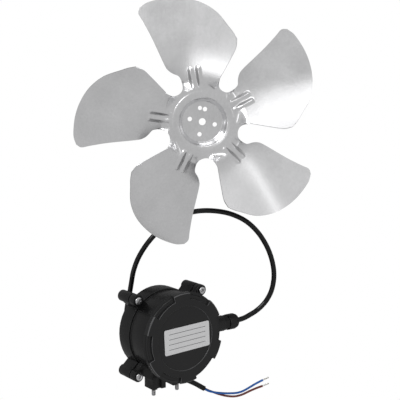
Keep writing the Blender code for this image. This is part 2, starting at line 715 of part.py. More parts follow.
def screws():
    ear = screw_mesh("ear_screw", EAR_HEAD_RADIUS, EAR_HEAD_HEIGHT, EAR_SCREW_RADIUS, EAR_SCREW_LENGTH)
    places = on_circle(EAR_COUNT, EAR_CIRCLE, math.pi / EAR_COUNT)
    scattered("housing_screw", ear, places, EAR_TOP + GAP, "bright_steel")
    depth = BOARD_TOP - BULKHEAD_LOW - BOARD_HOLE_FLOOR
    head = 2 * BOARD_SCREW_RADIUS
    small = screw_mesh("board_screw", head, BOARD_HEAD_HEIGHT, BOARD_SCREW_RADIUS, depth, 10)
    scattered("board_screw", small, board_screw_places(), BOARD_TOP + GAP, "bright_steel")


def seals():
    gasket_low = FRONT_HEIGHT + GAP
    ring("shell_gasket", INNER_RADIUS + GAP, BODY_RADIUS - GAP, gasket_low,
         gasket_low + GASKET_THICK, "seal_rubber", steps=40)
    ring("cover_gasket", INNER_RADIUS + GAP / 2, INNER_RADIUS + NECK_WALL, NECK_TOP + GAP,
         COVER_UNDER - GAP, "seal_rubber", steps=40)
    ring("shaft_seal", SHAFT_RADIUS + GAP, SEAL_RADIUS, FRONT_FACE + GAP,
         FRONT_BEARING - 2 * GAP, "seal_rubber")


def feet():
    places = [(side * FOOT_SPACING / 2, 0) for side in (-1, 1)]
    low = FOOT_REACH - STUD_HELD
    stud = plate_mesh("foot_stud", [on_circle(16, STUD_RADIUS)], low, FOOT_REACH + STUD_PROUD)
    scattered("foot_stud", smooth(stud), places, 0, "bright_steel", foot)
    inner = STUD_RADIUS + GAP
    rings = [on_circle(16, inner + INSERT_WALL), on_circle(16, inner)]
    insert = plate_mesh("foot_insert", rings, low, FOOT_REACH - GAP)
    scattered("foot_insert", smooth(insert), places, 0, "plated_brass", foot)


def cable_gland():
    body = turned("gland_body", [
        (0, COLLAR_REACH + COLLAR_LENGTH),
        (COLLAR_RADIUS, COLLAR_REACH + COLLAR_LENGTH),
        (COLLAR_RADIUS, HEX_REACH + EMBED),
        (SPIGOT_RADIUS, HEX_REACH + EMBED),
        (SPIGOT_RADIUS, SPIGOT_REACH),
        (0, SPIGOT_REACH),
    ], "black_plastic", gland, 24)

    def hexagon(work):
        corner = HEX_FLATS / 2 / math.cos(math.pi / 6)
        add_cylinder(work, corner, HEX_REACH, COLLAR_REACH, segments=6)
    combine(body, shapes("gland_hexagon", hexagon, None, gland), "UNION")

    def bore(work):
        add_cylinder(work, CORD_BORE, SPIGOT_REACH - THROUGH, COLLAR_REACH + COLLAR_LENGTH + THROUGH)
    combine(body, shapes("gland_bore", bore, None, gland), "DIFFERENCE")

    nut_end = NUT_REACH + NUT_LENGTH
    seal_low = COLLAR_REACH + COLLAR_LENGTH + GAP
    seal_high = seal_low + SEAL_LENGTH
    thread = COLLAR_RADIUS + GAP
    mouth = CORD_BORE + NUT_EASE
    dome = [
        (NUT_MOUTH + (NUT_RADIUS - NUT_MOUTH) * math.cos(a), nut_end - NUT_DOME * (1 - math.sin(a)))
        for a in (math.pi / 2, math.pi / 3, math.pi / 6, 0)
    ]
    nut = turned("gland_nut", dome + [
        (NUT_RADIUS, NUT_REACH),
        (thread, NUT_REACH),
        (thread, seal_high + GAP),
        (mouth, seal_high + GAP),
        (mouth, nut_end),
    ], "black_plastic", gland, 30)

    def grips(work):
        for at in on_circle(NUT_GRIPS, NUT_RADIUS + 0.2 * GRIP_RADIUS):
            add_cylinder(work, GRIP_RADIUS, NUT_REACH - THROUGH, nut_end + THROUGH, at, 6)
    combine(nut, shapes("nut_grips", grips, None, gland), "DIFFERENCE")
    ring("gland_seal", CORD_BORE, COLLAR_RADIUS - GAP, seal_low, seal_high, "seal_rubber", gland, 20)


def rotor():
    tip = -SHAFT_REACH
    turned("shaft", [
        (0, REAR_BEARING + BEARING_WIDTH),
        (SHAFT_RADIUS, REAR_BEARING + BEARING_WIDTH),
        (SHAFT_RADIUS, -HUB_FACE),
        (PILOT_RADIUS, -HUB_FACE),
        (PILOT_RADIUS, tip + PILOT_CHAMFER),
        (PILOT_RADIUS - PILOT_CHAMFER, tip),
        (0, tip),
    ], "bright_steel", steps=24)
    bore = SHAFT_RADIUS + GAP
    neck_end = FRONT_FACE - HUB_NECK_GAP
    hub = turned("fan_hub", [
        (HUB_NECK_RADIUS, neck_end),
        (HUB_NECK_RADIUS, HUB_THICK - HUB_FACE),
        (HUB_RADIUS, HUB_THICK - HUB_FACE),
        (HUB_RADIUS, -HUB_FACE),
        (bore, -HUB_FACE),
        (bore, neck_end),
    ], "bright_steel", steps=32)

    def fixings(work):
        for at in on_circle(FIXING_COUNT, FIXING_CIRCLE):
            add_cylinder(work, FIXING_RADIUS, -HUB_FACE - THROUGH, HUB_THICK - HUB_FACE + THROUGH, at, 10)
    combine(hub, shapes("hub_fixings", fixings, None), "DIFFERENCE")
    ring("rotor_core", bore, CORE_RADIUS, STACK_START, STACK_TOP, "electrical_steel")
    ring("rotor_magnet", CORE_RADIUS + GAP, MAGNET_RADIUS, STACK_START, STACK_TOP, "magnet")


def bearing(prefix, low):
    """A deep groove ball bearing: two rings, and the balls held in their cage."""
    high = low + BEARING_WIDTH
    middle = (low + high) / 2
    bore = SHAFT_RADIUS + GAP
    pitch = (bore + BEARING_RADIUS) / 2
    ball = (BEARING_RADIUS - bore) / 2 - RING_WALL - GAP
    ring(f"{prefix}_bearing_inner_ring", bore, bore + RING_WALL, low, high, "bright_steel", steps=24)
    ring(f"{prefix}_bearing_outer_ring", BEARING_RADIUS - RING_WALL, BEARING_RADIUS, low, high,
         "bright_steel", steps=32)
    half = ball + CAGE_RAIL
    cage = ring(f"{prefix}_bearing_cage", pitch - CAGE_WALL / 2, pitch + CAGE_WALL / 2,
                middle - half, middle + half, "insulation", steps=2 * BALL_COUNT)

    def balls(work):
        for at in on_circle(BALL_COUNT, pitch):
            made = bmesh.ops.create_uvsphere(work, u_segments=8, v_segments=5, radius=ball)
            bmesh.ops.translate(work, vec=(*at, middle), verts=made["verts"])
    combine(cage, shapes(f"{prefix}_bearing_balls", balls, None), "UNION")


def preload_spring():
    """A waved washer: a thin ring whose height follows three sine waves."""
    inner = BEARING_RADIUS - RING_WALL
    outer = BEARING_RADIUS
    low = REAR_BEARING + BEARING_WIDTH + GAP
    swing = (SPRING_HEIGHT - SPRING_STRIP) / 2
    count = 36
    mesh = plate_mesh(
        "preload_spring", [on_circle(count, outer), on_circle(count, inner)], 0, SPRING_STRIP
    )
    for vertex in mesh.vertices:
        angle = math.atan2(vertex.co.y, vertex.co.x)
        vertex.co.z += low + swing * (1 + math.cos(SPRING_WAVES * angle))
    place("preload_spring", mesh, "bright_steel", motor)


def stator():
    pitch = 2 * math.pi / TOOTH_COUNT
    lip = STATOR_BORE + TOOTH_LIP
    half_open = SLOT_OPENING / 2
    at_lip = pitch / 2 - math.asin(TOOTH_WIDTH / 2 / lip)
    at_root = pitch / 2 - math.asin(TOOTH_WIDTH / 2 / SLOT_ROOT)
    inner = []
    for k in range(TOOTH_COUNT):
        slot = pitch * k
        steps = [
            (STATOR_BORE, -half_open / STATOR_BORE), (lip, -half_open / lip), (lip, -at_lip),
            (SLOT_ROOT, -at_root), (SLOT_ROOT, 0.0), (SLOT_ROOT, at_root), (lip, at_lip),
            (lip, half_open / lip), (STATOR_BORE, half_open / STATOR_BORE),
            (STATOR_BORE, pitch / 2),
        ]
        inner += [(r * math.cos(slot + a), r * math.sin(slot + a)) for r, a in steps]
    outline = on_circle(54, STATOR_RADIUS)
    mesh = plate_mesh("stator_core", [outline, inner], STACK_START, STACK_TOP)
    place("stator_core", mesh, "electrical_steel", motor)

    side = TOOTH_WIDTH / 2 + BOBBIN_WALL
    half_stack = STACK_LENGTH / 2 + BOBBIN_WALL
    outer = rectangle(side + COIL_WALL, half_stack + COIL_WALL)
    root = SLOT_ROOT * math.cos(at_root / 2)
    coil_end = math.sqrt(root ** 2 - (side + COIL_WALL) ** 2) - GAP
    coil = plate_mesh("winding", [outer, rectangle(side, half_stack)], lip + GAP, coil_end)
    stand = Matrix(((0, 0, 1, 0), (1, 0, 0, 0), (0, 1, 0, 0), (0, 0, 0, 1)))
    coil.transform(Matrix.Translation((0, 0, (STACK_START + STACK_TOP) / 2)) @ stand)
    for k in range(TOOTH_COUNT):
        body = place(f"winding_{k + 1}", coil, "copper_winding", motor)
        body.rotation_euler = (0, 0, pitch * (k + 0.5))
    inner, outer = SLOT_ROOT + GAP, INNER_RADIUS - RIB_DEPTH - GAP
    low, high = STACK_START - GAP, STACK_TOP + GAP
    ring("front_insulator", inner, outer, low - INSULATOR_THICK, low, "insulation", steps=28)
    ring("rear_insulator", inner, outer, high, high + INSULATOR_THICK, "insulation", steps=28)


def rectangle(half_x, half_y):
    return [(half_x, half_y), (-half_x, half_y), (-half_x, -half_y), (half_x, -half_y)]


def electronics():
    board = plate_mesh("circuit_board", [on_circle(48, STATOR_RADIUS)], BOARD_LOW, BOARD_TOP)
    board = place("circuit_board", board, "board", motor)

    def holes(work):
        for at in board_screw_places():
            add_cylinder(work, BOARD_SCREW_RADIUS + GAP, BOARD_LOW - THROUGH, BOARD_TOP + THROUGH, at, 12)
        low = (SLOT_INNER, -SLOT_WIDTH / 2, BOARD_LOW - THROUGH)
        high = (SLOT_OUTER, SLOT_WIDTH / 2, BOARD_TOP + THROUGH)
        add_box(work, low, high)
    combine(board, shapes("board_holes", holes, None), "DIFFERENCE")
    seat = BOARD_TOP + GAP

    def capacitor(work):
        made = add_cylinder(work, CAPACITOR_RADIUS, -CAPACITOR_LENGTH / 2, CAPACITOR_LENGTH / 2)
        bmesh.ops.rotate(work, matrix=Matrix.Rotation(math.pi / 2, 3, "X"), verts=made)
        centre = (-COMPONENT_REACH - CAPACITOR_SHIFT, 0, seat + CAPACITOR_RADIUS)
        bmesh.ops.translate(work, vec=centre, verts=made)
    shapes("smoothing_capacitor", capacitor, "component")

    def choke(work):
        add_cylinder(work, CHOKE_RADIUS, seat, seat + CHOKE_HEIGHT, (0, -COMPONENT_REACH), 18)
    shapes("line_choke", choke, "copper_winding")

    def module(work):
        low = (-MODULE_WIDTH / 2, COMPONENT_REACH - MODULE_DEPTH / 2, seat)
        high = (MODULE_WIDTH / 2, COMPONENT_REACH + MODULE_DEPTH / 2, seat + MODULE_HEIGHT)
        add_box(work, low, high)
    shapes("power_module", module, "component")


    def terminal(work):
        low = (SLOT_INNER - GAP - TERMINAL_WIDTH, -TERMINAL_DEPTH / 2, seat)
        high = (SLOT_INNER - GAP, TERMINAL_DEPTH / 2, seat + TERMINAL_HEIGHT)
        add_box(work, low, high)
    shapes("terminal_block", terminal, "insulation")

    tail_end = INNER_END - GAP
    rise = seat + TERMINAL_HEIGHT / 2
    middle_x = (SLOT_INNER + SLOT_OUTER) / 2
    for side, name in ((1, "inner_lead_blue"), (-1, "inner_lead_brown")):
        y = side * (LEAD_RADIUS + GAP)
        route = [
            (tail_end, ENTRY_OFFSET + y, ENTRY_HEIGHT),
            (middle_x + 3 * MM, ENTRY_OFFSET + y, ENTRY_HEIGHT + 1.0 * MM),
            (middle_x, ENTRY_OFFSET * 0.5 + 1.3 * y, BULKHEAD_LOW + 0.5 * MM),
            (middle_x - 0.5 * MM, 1.5 * y, BOARD_LOW),
            (middle_x - 1.5 * MM, 1.5 * y, rise - 1.5 * MM),
            (SLOT_INNER + 2.5 * MM, 1.5 * y, rise),
            (SLOT_INNER + GAP, 1.5 * y, rise),
        ]
        colour = "blue_core" if side > 0 else "brown_core"
        tube(name, [Vector(p) for p in route], LEAD_RADIUS, colour, motor, 2)


def flow(points, spacing):
    """Points a spacing apart on the smooth curve through the given points (Catmull-Rom)."""
    ends = [points[0] * 2 - points[1]] + points + [points[-1] * 2 - points[-2]]
    fine = []
    for a, b, c, d in zip(ends, ends[1:], ends[2:], ends[3:]):
        for i in range(12):
            t = i / 12
            fine.append(
                0.5 * (2 * b + (c - a) * t + (2 * a - 5 * b + 4 * c - d) * t ** 2
                       + (3 * b - a - 3 * c + d) * t ** 3)
            )
    fine.append(points[-1])
    length = sum((q - p).length for p, q in zip(fine, fine[1:]))
    count = max(2, round(length / spacing))
    step = length / count
    kept, walked, due = [fine[0]], 0.0, step
    for p, q in zip(fine, fine[1:]):
        gone = (q - p).length
        while walked + gone >= due and len(kept) < count:
            kept.append(p.lerp(q, (due - walked) / gone))
            due += step
        walked += gone
    kept.append(points[-1])
    return kept


def tube(name, points, radius, finish_name, parent, resolution, spacing=5.0):
    curve = bpy.data.curves.new(name, "CURVE")
    curve.dimensions = "3D"
    curve.bevel_depth = radius
    curve.bevel_resolution = resolution
    curve.use_fill_caps = True
    spline = curve.splines.new("POLY")
    path = flow(points, spacing * radius) if len(points) > 2 else points
    spline.points.add(len(path) - 1)
    for point, at in zip(spline.points, path):
        point.co = (*at, 1)
    return place(name, curve, finish_name, parent)


def cords():
    stub = [Vector((0, 0, INNER_END)), Vector((0, 0, CORD_START - GAP))]
    tube("cord_inner_end", stub, CORD_RADIUS, "cord_jacket", gland, 3)
    lean = Matrix.Translation(motor.location) @ Matrix.Rotation(LEAN, 4, "Y")
    starts = [CORD_START, CORD_START + CORD_LEAD]
    leaving = [lean @ Vector((reach, ENTRY_OFFSET, ENTRY_HEIGHT)) for reach in starts]
    route = leaving + [Vector(p) * MM for p in CORD_ROUTE]
    tube("cord_jacket", route, CORD_RADIUS, "cord_jacket", bench, 3)
    for name, points, radius, colour in (
        ("blue_core", BLUE_ROUTE, CORE_WIRE_RADIUS, "blue_core"),
        ("brown_core", BROWN_ROUTE, CORE_WIRE_RADIUS, "brown_core"),
        ("blue_tinned_end", BLUE_TIP_ROUTE, TIP_RADIUS, "tinned_copper"),
        ("brown_tinned_end", BROWN_TIP_ROUTE, TIP_RADIUS, "tinned_copper"),
    ):
        tube(name, [Vector(p) * MM for p in points], radius, colour, bench, 2)


def polar(radius, degrees):
    angle = math.radians(degrees)
    return Vector((radius * math.cos(angle), radius * math.sin(angle)))


def along(points, fraction):
    """A point on the smooth curve through the given points, by its share of the length."""
    fine = flow([p.to_3d() for p in points], BLADE_REACH / 120)
    place_on = fraction * (len(fine) - 1)
    i = min(int(place_on), len(fine) - 2)
    return fine[i].lerp(fine[i + 1], place_on - i).to_2d()


def blade_point(share, degrees):
    return polar(share * BLADE_REACH, degrees)


def crease_distance(at):
    """How far a point lies on the leading side of the crease line."""
    start, end = blade_point(*CREASE_START), blade_point(*CREASE_END)
    run = (end - start).normalized()
    return (at - start).dot(Vector((run.y, -run.x)))


def smoothstep(value):
    value = min(1.0, max(0.0, value))
    return value * value * (3 - 2 * value)


def blade_height(at):
    """A flat wing behind the crease, and a part that curls up ahead of it."""
    d = crease_distance(at)
    lifted = 0.5 * (d + math.hypot(d, CURL_WIDTH))
    root = ROOT_DROP * math.exp(-max(0.0, at.length - RING_RADIUS) / ROOT_FADE)
    return BLADE_BASE - root + WING_SLOPE * d + CURL_SLOPE * lifted


def web_height(at, share):
    """The raised ring, blended into the blade's own height where the share is 1."""
    rise = share * smoothstep((at.length - RING_RADIUS) / FLANK_WIDTH)
    return RING_HEIGHT + rise * (blade_height(at) - RING_HEIGHT)


def notch_columns(half):
    """The round notch between two blades: each column's angle, its outer radius, and its blade share."""
    made = []
    for k in (-2, -1, 0, 1, 2):
        swing = math.radians((90 - half) * k / 3)
        out = NOTCH_REACH - NOTCH_RADIUS * math.cos(swing)
        aside = NOTCH_RADIUS * math.sin(swing)
        angle = NOTCH_ANGLE + math.degrees(math.atan2(aside, out))
        made.append((angle, math.hypot(out, aside), smoothstep(abs(k) / 3)))
    return made


def impeller():
    pitch = 360 / BLADE_COUNT
    half = math.degrees(math.asin(NOTCH_RADIUS / NOTCH_REACH))
    neck_radius = math.sqrt(NOTCH_REACH ** 2 - NOTCH_RADIUS ** 2)
    first, last = NOTCH_ANGLE + half - pitch, NOTCH_ANGLE - half
    beside = [angle + side * BEAD_HALF_WIDTH for angle in BEAD_ANGLES for side in (-1, 0, 1)]
    neck = [first, (2 * first + beside[0]) / 3, (first + 2 * beside[0]) / 3, *beside,
            (beside[-1] + last) / 2, last]
    columns = [(angle, neck_radius, 1.0) for angle in neck] + notch_columns(half)
    columns.append((pitch + first, neck_radius, 1.0))
    floor_height = RING_HEIGHT - FLOOR_DROP
    rings = [
        (BORE_RADIUS, floor_height), (FLOOR_RADIUS, floor_height), (RIM_RADIUS, RING_HEIGHT),
        ((RIM_RADIUS + RING_RADIUS) / 2, RING_HEIGHT + RING_CROWN), (RING_RADIUS, RING_HEIGHT),
    ]
    rows = (0.0, 0.05, 0.12, 0.2, 0.28, 0.4, 0.55, 0.7, 0.86, 1.0)
    leading = [polar(neck_radius, first)] + [blade_point(*p) for p in EDGE_LEADING]
    outer = [leading[-1]] + [blade_point(*p) for p in EDGE_OUTER]
    trailing = [polar(neck_radius, last)] + [blade_point(*p) for p in EDGE_TRAILING] + [outer[-1]]
    corners = (leading[0], leading[-1], trailing[0], trailing[-1])
    work = bmesh.new()
    for blade in range(BLADE_COUNT):
        turn = math.radians(pitch * blade)

        def corner(at, height):
            x = at.x * math.cos(turn) - at.y * math.sin(turn)
            y = at.x * math.sin(turn) + at.y * math.cos(turn)
            return work.verts.new((x, y, height))

        hub = [[corner(polar(radius, angle), height) for angle, _, _ in columns]
               for radius, height in rings]
        for out in (1 / 3, 2 / 3, 1.0):
            line = []
            for angle, edge, share in columns:
                radius = RING_RADIUS + out * (edge - RING_RADIUS)
                own = angle if angle <= NOTCH_ANGLE else angle - pitch
                height = web_height(polar(radius, own), share) + bead(angle, min(1.0, 2 * out))
                line.append(corner(polar(radius, angle), height))
            hub.append(line)
        for low, high in zip(hub, hub[1:]):
            for i in range(len(low) - 1):
                work.faces.new((low[i], high[i], high[i + 1], low[i + 1]))
        blades = []
        for s in rows:
            left, right = along(leading, s), along(trailing, s)
            line = []
            for a in neck:
                t = (a - first) / (last - first)
                near, far = polar(neck_radius, a), along(outer, t)
                straight = (1 - s) * ((1 - t) * corners[0] + t * corners[2])
                straight += s * ((1 - t) * corners[1] + t * corners[3])
                at = (1 - s) * near + s * far + (1 - t) * left + t * right - straight
                height = web_height(at, 1.0) + bead(a, smoothstep((0.2 - s) / 0.08))
                line.append(corner(at, height))
            blades.append(line)
        for low, high in zip(blades, blades[1:]):
            for i in range(len(low) - 1):
                work.faces.new((low[i], high[i], high[i + 1], low[i + 1]))
    bmesh.ops.remove_doubles(work, verts=work.verts, dist=0.00005)
    bmesh.ops.recalc_face_normals(work, faces=work.faces)
    lowest = min(v.co.z for v in work.verts)
    mesh = bpy.data.meshes.new("impeller")
    work.to_mesh(mesh)
    work.free()
    rest = Vector((0, 0, SHEET / 2 - lowest))
    body = place("impeller", smooth(mesh), "pressed_aluminium", bench)
    body.location = IMPELLER_PLACE + rest
    body.rotation_euler = (0, 0, IMPELLER_TURN)
    sheet = body.modifiers.new("sheet", "SOLIDIFY")
    sheet.thickness = SHEET
    sheet.offset = 0

    def holes(work):
        low, high = floor_height - SHEET, floor_height + SHEET
        for at in on_circle(FIXING_COUNT, FIXING_CIRCLE, math.radians(FIXING_ANGLE)):
            add_cylinder(work, FIXING_HOLE_RADIUS, low, high, at, 12)
        spare_at = polar(SPARE_HOLE_CIRCLE, SPARE_HOLE_ANGLE)
        add_cylinder(work, SPARE_HOLE_RADIUS, low, high, spare_at, 12)
    combine(body, shapes("impeller_holes", holes, None, body), "DIFFERENCE")


def bead(angle, share):
    return BEAD_HEIGHT * share if angle in BEAD_ANGLES else 0.0


front_shell()
rear_shell()
rear_cover()
nameplate()
screws()
seals()
feet()
cable_gland()
rotor()
bearing("front", FRONT_BEARING)
bearing("rear", REAR_BEARING)
preload_spring()
stator()
electronics()
cords()
impeller()
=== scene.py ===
"""Looks of a condenser fan set: a closed black fan motor, its supply cord and its pressed aluminium impeller.

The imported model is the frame. Round and pressed pieces are surfaces worked out with numpy from the
frame's own positions, and every other solid keeps its shape and gets a material of its own.
"""
import functools
import json
import math

import bmesh
import bpy
import numpy as np
from mathutils import Matrix, Vector


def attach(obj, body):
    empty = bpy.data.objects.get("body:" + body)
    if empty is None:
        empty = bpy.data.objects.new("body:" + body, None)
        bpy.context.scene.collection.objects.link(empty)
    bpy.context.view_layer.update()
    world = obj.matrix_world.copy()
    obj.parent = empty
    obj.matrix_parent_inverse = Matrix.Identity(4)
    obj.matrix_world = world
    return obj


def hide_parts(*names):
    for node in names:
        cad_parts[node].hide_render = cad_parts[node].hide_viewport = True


bl_info = {
    "name": "Condenser fan set",
    "version": (1, 0, 0),
    "blender": (4, 5, 0),
    "location": "View3D > Sidebar > Fan set",
    "description": "Dresses the packed fan motor and builds its cord, its impeller and the stage",
    "category": "Add Mesh",
}

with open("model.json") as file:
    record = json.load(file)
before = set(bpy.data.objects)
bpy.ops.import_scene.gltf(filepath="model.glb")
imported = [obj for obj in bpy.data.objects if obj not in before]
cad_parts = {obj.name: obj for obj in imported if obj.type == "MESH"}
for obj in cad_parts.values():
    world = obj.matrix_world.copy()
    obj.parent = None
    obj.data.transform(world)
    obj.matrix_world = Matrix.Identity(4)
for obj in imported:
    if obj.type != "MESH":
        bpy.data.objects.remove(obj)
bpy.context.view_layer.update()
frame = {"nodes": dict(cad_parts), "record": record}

MM = 0.001
DEGREE = math.pi / 180
SMOOTH_UNDER = 32.0 * DEGREE


def named(things, name):
    """The entry of that name in one of the record's lists."""
    return next(thing for thing in things if thing["name"] == name)


RECORD = frame["record"]
ROTOR_SPIN = named(RECORD["behaviour"]["joints"], "rotor_spin")

# The motor's own axes: N from the shaft tip to the cover, U up the photograph, H towards the gland
MOTOR_N = np.array(ROTOR_SPIN["axis"])
MOTOR_U = np.array([0.0, 1.0, 0.0])
MOTOR_H = np.cross(MOTOR_U, MOTOR_N)
MOTOR_ORIGIN = np.array(ROTOR_SPIN["pos_m"])

# The impeller's axis stands upright through the middle of its hub recess
RECESS_LOW, RECESS_HIGH = np.array(named(RECORD["physics"]["openings"], "hub_recess")["box_m"])
IMPELLER_CENTRE = (RECESS_LOW + RECESS_HIGH) / 2
IMPELLER_CENTRE[2] = named(RECORD["mounts"], "impeller_seat")["pos_m"][2]

# The bench's middle, from which the cord's route is counted
ROUTE_SHIFT = np.array([6.06, -5.96, 0.0]) * MM

# The nameplate's size, place, turn and blank ruled lines, in millimetres and degrees
PLATE_SIZE = (52.5, 25.0)
PLATE_SHIFT = 2.0
PLATE_TURN = 2.5
PLATE_CORNER = 1.8
PLATE_LOW = 53.7
PLATE_THICK = 0.4
PLATE_EDGE = 0.12
RULE_HEIGHTS = (-7.5, -2.5, 2.5, 7.5)
RULE_REACH = 21.5
RULE_HALF_WIDTH = 0.22
RULE_COLOUR = (0.10, 0.10, 0.11)


def distance_property(name, description, millimetres):
    return bpy.props.FloatProperty(
        name=name, description=description, default=millimetres * MM, subtype="DISTANCE")


def colour_property(name, description, *channels):
    return bpy.props.FloatVectorProperty(
        name=name, description=description, default=channels, subtype="COLOR", size=3)


class FanImpellerSizes(bpy.types.PropertyGroup):
    """Sizes of the pressed impeller."""
    sheet: distance_property("Sheet", "Thickness of the aluminium sheet", 1.2)
    turn: bpy.props.FloatProperty(
        name="Turn", description="Angle of the first blade's leading edge", default=71.9 * DEGREE,
        subtype="ANGLE")
    bead_height: distance_property("Bead height", "How far the stiffening beads stand out", 1.3)
    colour: colour_property("Aluminium", "Colour of the rolled sheet", 0.86, 0.86, 0.87)


class FanMotorSizes(bpy.types.PropertyGroup):
    """Sizes and colours of the motor's outer pieces."""
    cover_radius: distance_property("Cover radius", "Outer radius of the rear cover", 44.9)
    pocket_count: bpy.props.IntProperty(
        name="Pockets", description="Finger pockets around the cover", default=6)
    nut_grips: bpy.props.IntProperty(
        name="Grips", description="Grip grooves around the gland's nut", default=10)
    thread_pitch: distance_property("Thread pitch", "Pitch of the foot studs' thread", 0.7)
    black: colour_property("Housing", "Colour of the black moulded plastic", 0.008, 0.008, 0.0084)
    plate: colour_property("Nameplate", "Colour of the bare plate", 0.93, 0.93, 0.94)


class FanCordSizes(bpy.types.PropertyGroup):
    """Sizes and colours of the supply cord."""
    jacket: distance_property("Jacket", "Outer diameter of the jacket", 5.2)
    core: distance_property("Core", "Outer diameter of a core", 2.2)
    wire: distance_property("Wire", "Diameter of a core's tinned end", 1.5)
    blue: colour_property("Blue", "Colour of the neutral core", 0.025, 0.16, 0.58)
    brown: colour_property("Brown", "Colour of the live core", 0.22, 0.055, 0.042)
    black: colour_property("Black", "Colour of the jacket", 0.004, 0.004, 0.0045)


class FanStageSizes(bpy.types.PropertyGroup):
    """The camera and the even light."""
    lens: bpy.props.FloatProperty(
        name="Lens", description="Focal length on a 36 mm sensor", default=80.55)
    world: bpy.props.FloatProperty(
        name="Sky", description="Strength of the even light all round", default=0.50)


def settle(thing, **settings):
    """Sets several attributes of a thing and returns it."""
    for key, value in settings.items():
        setattr(thing, key, value)
    return thing


class Socket:
    """A shader value. Python's own signs on it add Math nodes to its tree."""

    def __init__(self, tree, output):
        self.tree = tree
        self.output = output

    def _math(self, operation, *values):
        return self.tree.node("ShaderNodeMath", dict(enumerate(values)), operation=operation)[0]

    def __add__(self, other):
        return self._math("ADD", self, other)

    def __sub__(self, other):
        return self._math("SUBTRACT", self, other)

    def __mul__(self, other):
        return self._math("MULTIPLY", self, other)

    def __truediv__(self, other):
        return self._math("DIVIDE", self, other)

    def sin(self):
        return self._math("SINE", self)

    def absolute(self):
        return self._math("ABSOLUTE", self)

    def wave(self):
        """The share of a whole turn, from 0 to 1."""
        return self._math("FRACT", self)


class Tree:
    """A node tree, and a short way to add nodes to it."""

    def __init__(self, node_tree):
        self.nodes = node_tree.nodes
        self.links = node_tree.links

    def node(self, kind, values=None, **settings):
        """Adds a node, sets its settings first and then its sockets, and returns its outputs."""
        made = settle(self.nodes.new(kind), **settings)
        for key, value in (values or {}).items():
            self.feed(made.inputs[key], value)
        return [Socket(self, output) for output in made.outputs]

    def feed(self, socket, value):
        if isinstance(value, Socket):
            self.links.new(value.output, socket)
        elif socket.type == "RGBA":
            socket.default_value = (*value, 1.0)
        else:
            socket.default_value = value

    def for_camera(self, seen, ordinary, output):
        """Shows the camera one shader and every other ray the ordinary one."""
        ray = self.node("ShaderNodeLightPath")[0]
        plain = Socket(self, ordinary.outputs[0])
        self.feed(output.inputs["Surface"], self.node("ShaderNodeMixShader", {0: ray, 1: plain, 2: seen})[0])


class Finish(Tree):
    """One material: a Principled shader, and short ways to add the nodes that feed it."""

    def __init__(self, name):
        self.material = bpy.data.materials.new(name)
        self.material.use_nodes = True
        super().__init__(self.material.node_tree)
        self.shader = self.nodes["Principled BSDF"]

    def set(self, **values):
        """Sets or links the shader's own sockets, with spaces written as underscores."""
        for key, value in values.items():
            self.feed(self.shader.inputs[key.replace("_", " ")], value)
        return self

    def place(self, scale=(1, 1, 1), centre=(0, 0, 0), turn=(0, 0, 0)):
        """Object coordinates, counted from a centre, turned and stretched."""
        start = self.node("ShaderNodeTexCoord")[3]
        moved = self.node("ShaderNodeVectorMath", {0: start, 1: tuple(centre)}, operation="SUBTRACT")[0]
        return self.node("ShaderNodeMapping", {"Vector": moved, "Rotation": turn, "Scale": scale})[0]

    def motor_place(self, scale=(1, 1, 1)):
        """Object coordinates in the motor's own axes: across, up and along its shaft."""
        turned_back = Matrix.Rotation(-math.atan2(MOTOR_N[0], MOTOR_N[2]), 3, "Y").to_euler()
        return self.place(scale, MOTOR_ORIGIN, tuple(turned_back))

    def apart(self, vector):
        """The three parts of a vector."""
        return self.node("ShaderNodeSeparateXYZ", {0: vector})

    def noise(self, vector, scale, detail=2.0, roughness=0.5):
        """A value from 0 to 1 that wanders at so many cells a metre."""
        return self.node("ShaderNodeTexNoise", {
            "Vector": vector, "Scale": scale, "Detail": detail, "Roughness": roughness})[0]

    def blend(self, factor, first, second):
        """A colour between two, by a factor from 0 to 1."""
        return self.node("ShaderNodeMix", {0: factor, 6: first, 7: second}, data_type="RGBA")[2]

    def steps(self, value, low, high):
        """0 below low, 1 above high and a straight run between them."""
        return self.node("ShaderNodeMapRange", {0: value, 1: low, 2: high, 3: 0.0, 4: 1.0})[0]

    def band(self, value, half_width, blur):
        """1 while the value is within half a width of 0, and 0 once it is past the blur as well."""
        return self.steps(value.absolute() * -1.0, -half_width - blur, -half_width)

    def relief(self, height, distance, strength=1.0):
        """A bump of the given height in metres, fed to the shader's Normal."""
        bump = self.node("ShaderNodeBump", {"Strength": strength, "Distance": distance, "Height": height})[0]
        return self.set(Normal=bump)


def shade(colour, factor):
    """A colour made lighter or darker by one factor."""
    return tuple(min(1.0, channel * factor) for channel in colour)


def moulded_plastic(name, colour, roughness, grain, painted_highlight_level=None):
    """Black plastic from a spark-eroded mould: fine pits and softer cloudy patches.

    Where a highlight level is given, a painted highlight lightens a thin band at that height of the motor's
    axis.
    """
    finish = Finish(name)
    place = finish.place()
    pits = finish.noise(place, 1.0 / (grain * MM), 3.0, 0.62)
    cloud = finish.noise(place, 45.0, 3.0)
    tone = finish.blend(cloud, shade(colour, 0.82), shade(colour, 1.22))
    if painted_highlight_level is not None:
        height = finish.apart(finish.motor_place())[2] / MM
        # Painted highlight: a lighter band on the steep faces at that height, standing in for light caught by
        # them
        painted_highlight = finish.band(height - painted_highlight_level, PAINTED_HIGHLIGHT_REACH, 0.06)
        tone = finish.blend(painted_highlight * (cloud * 0.5 + 0.6), tone, PAINTED_HIGHLIGHT_COLOUR)
    finish.set(Base_Color=tone,
               Roughness=cloud * 0.14 + (roughness - 0.07) + pits * 0.06, Specular_IOR_Level=0.36)
    return finish.relief(pits, 0.05 * MM, 0.55).material


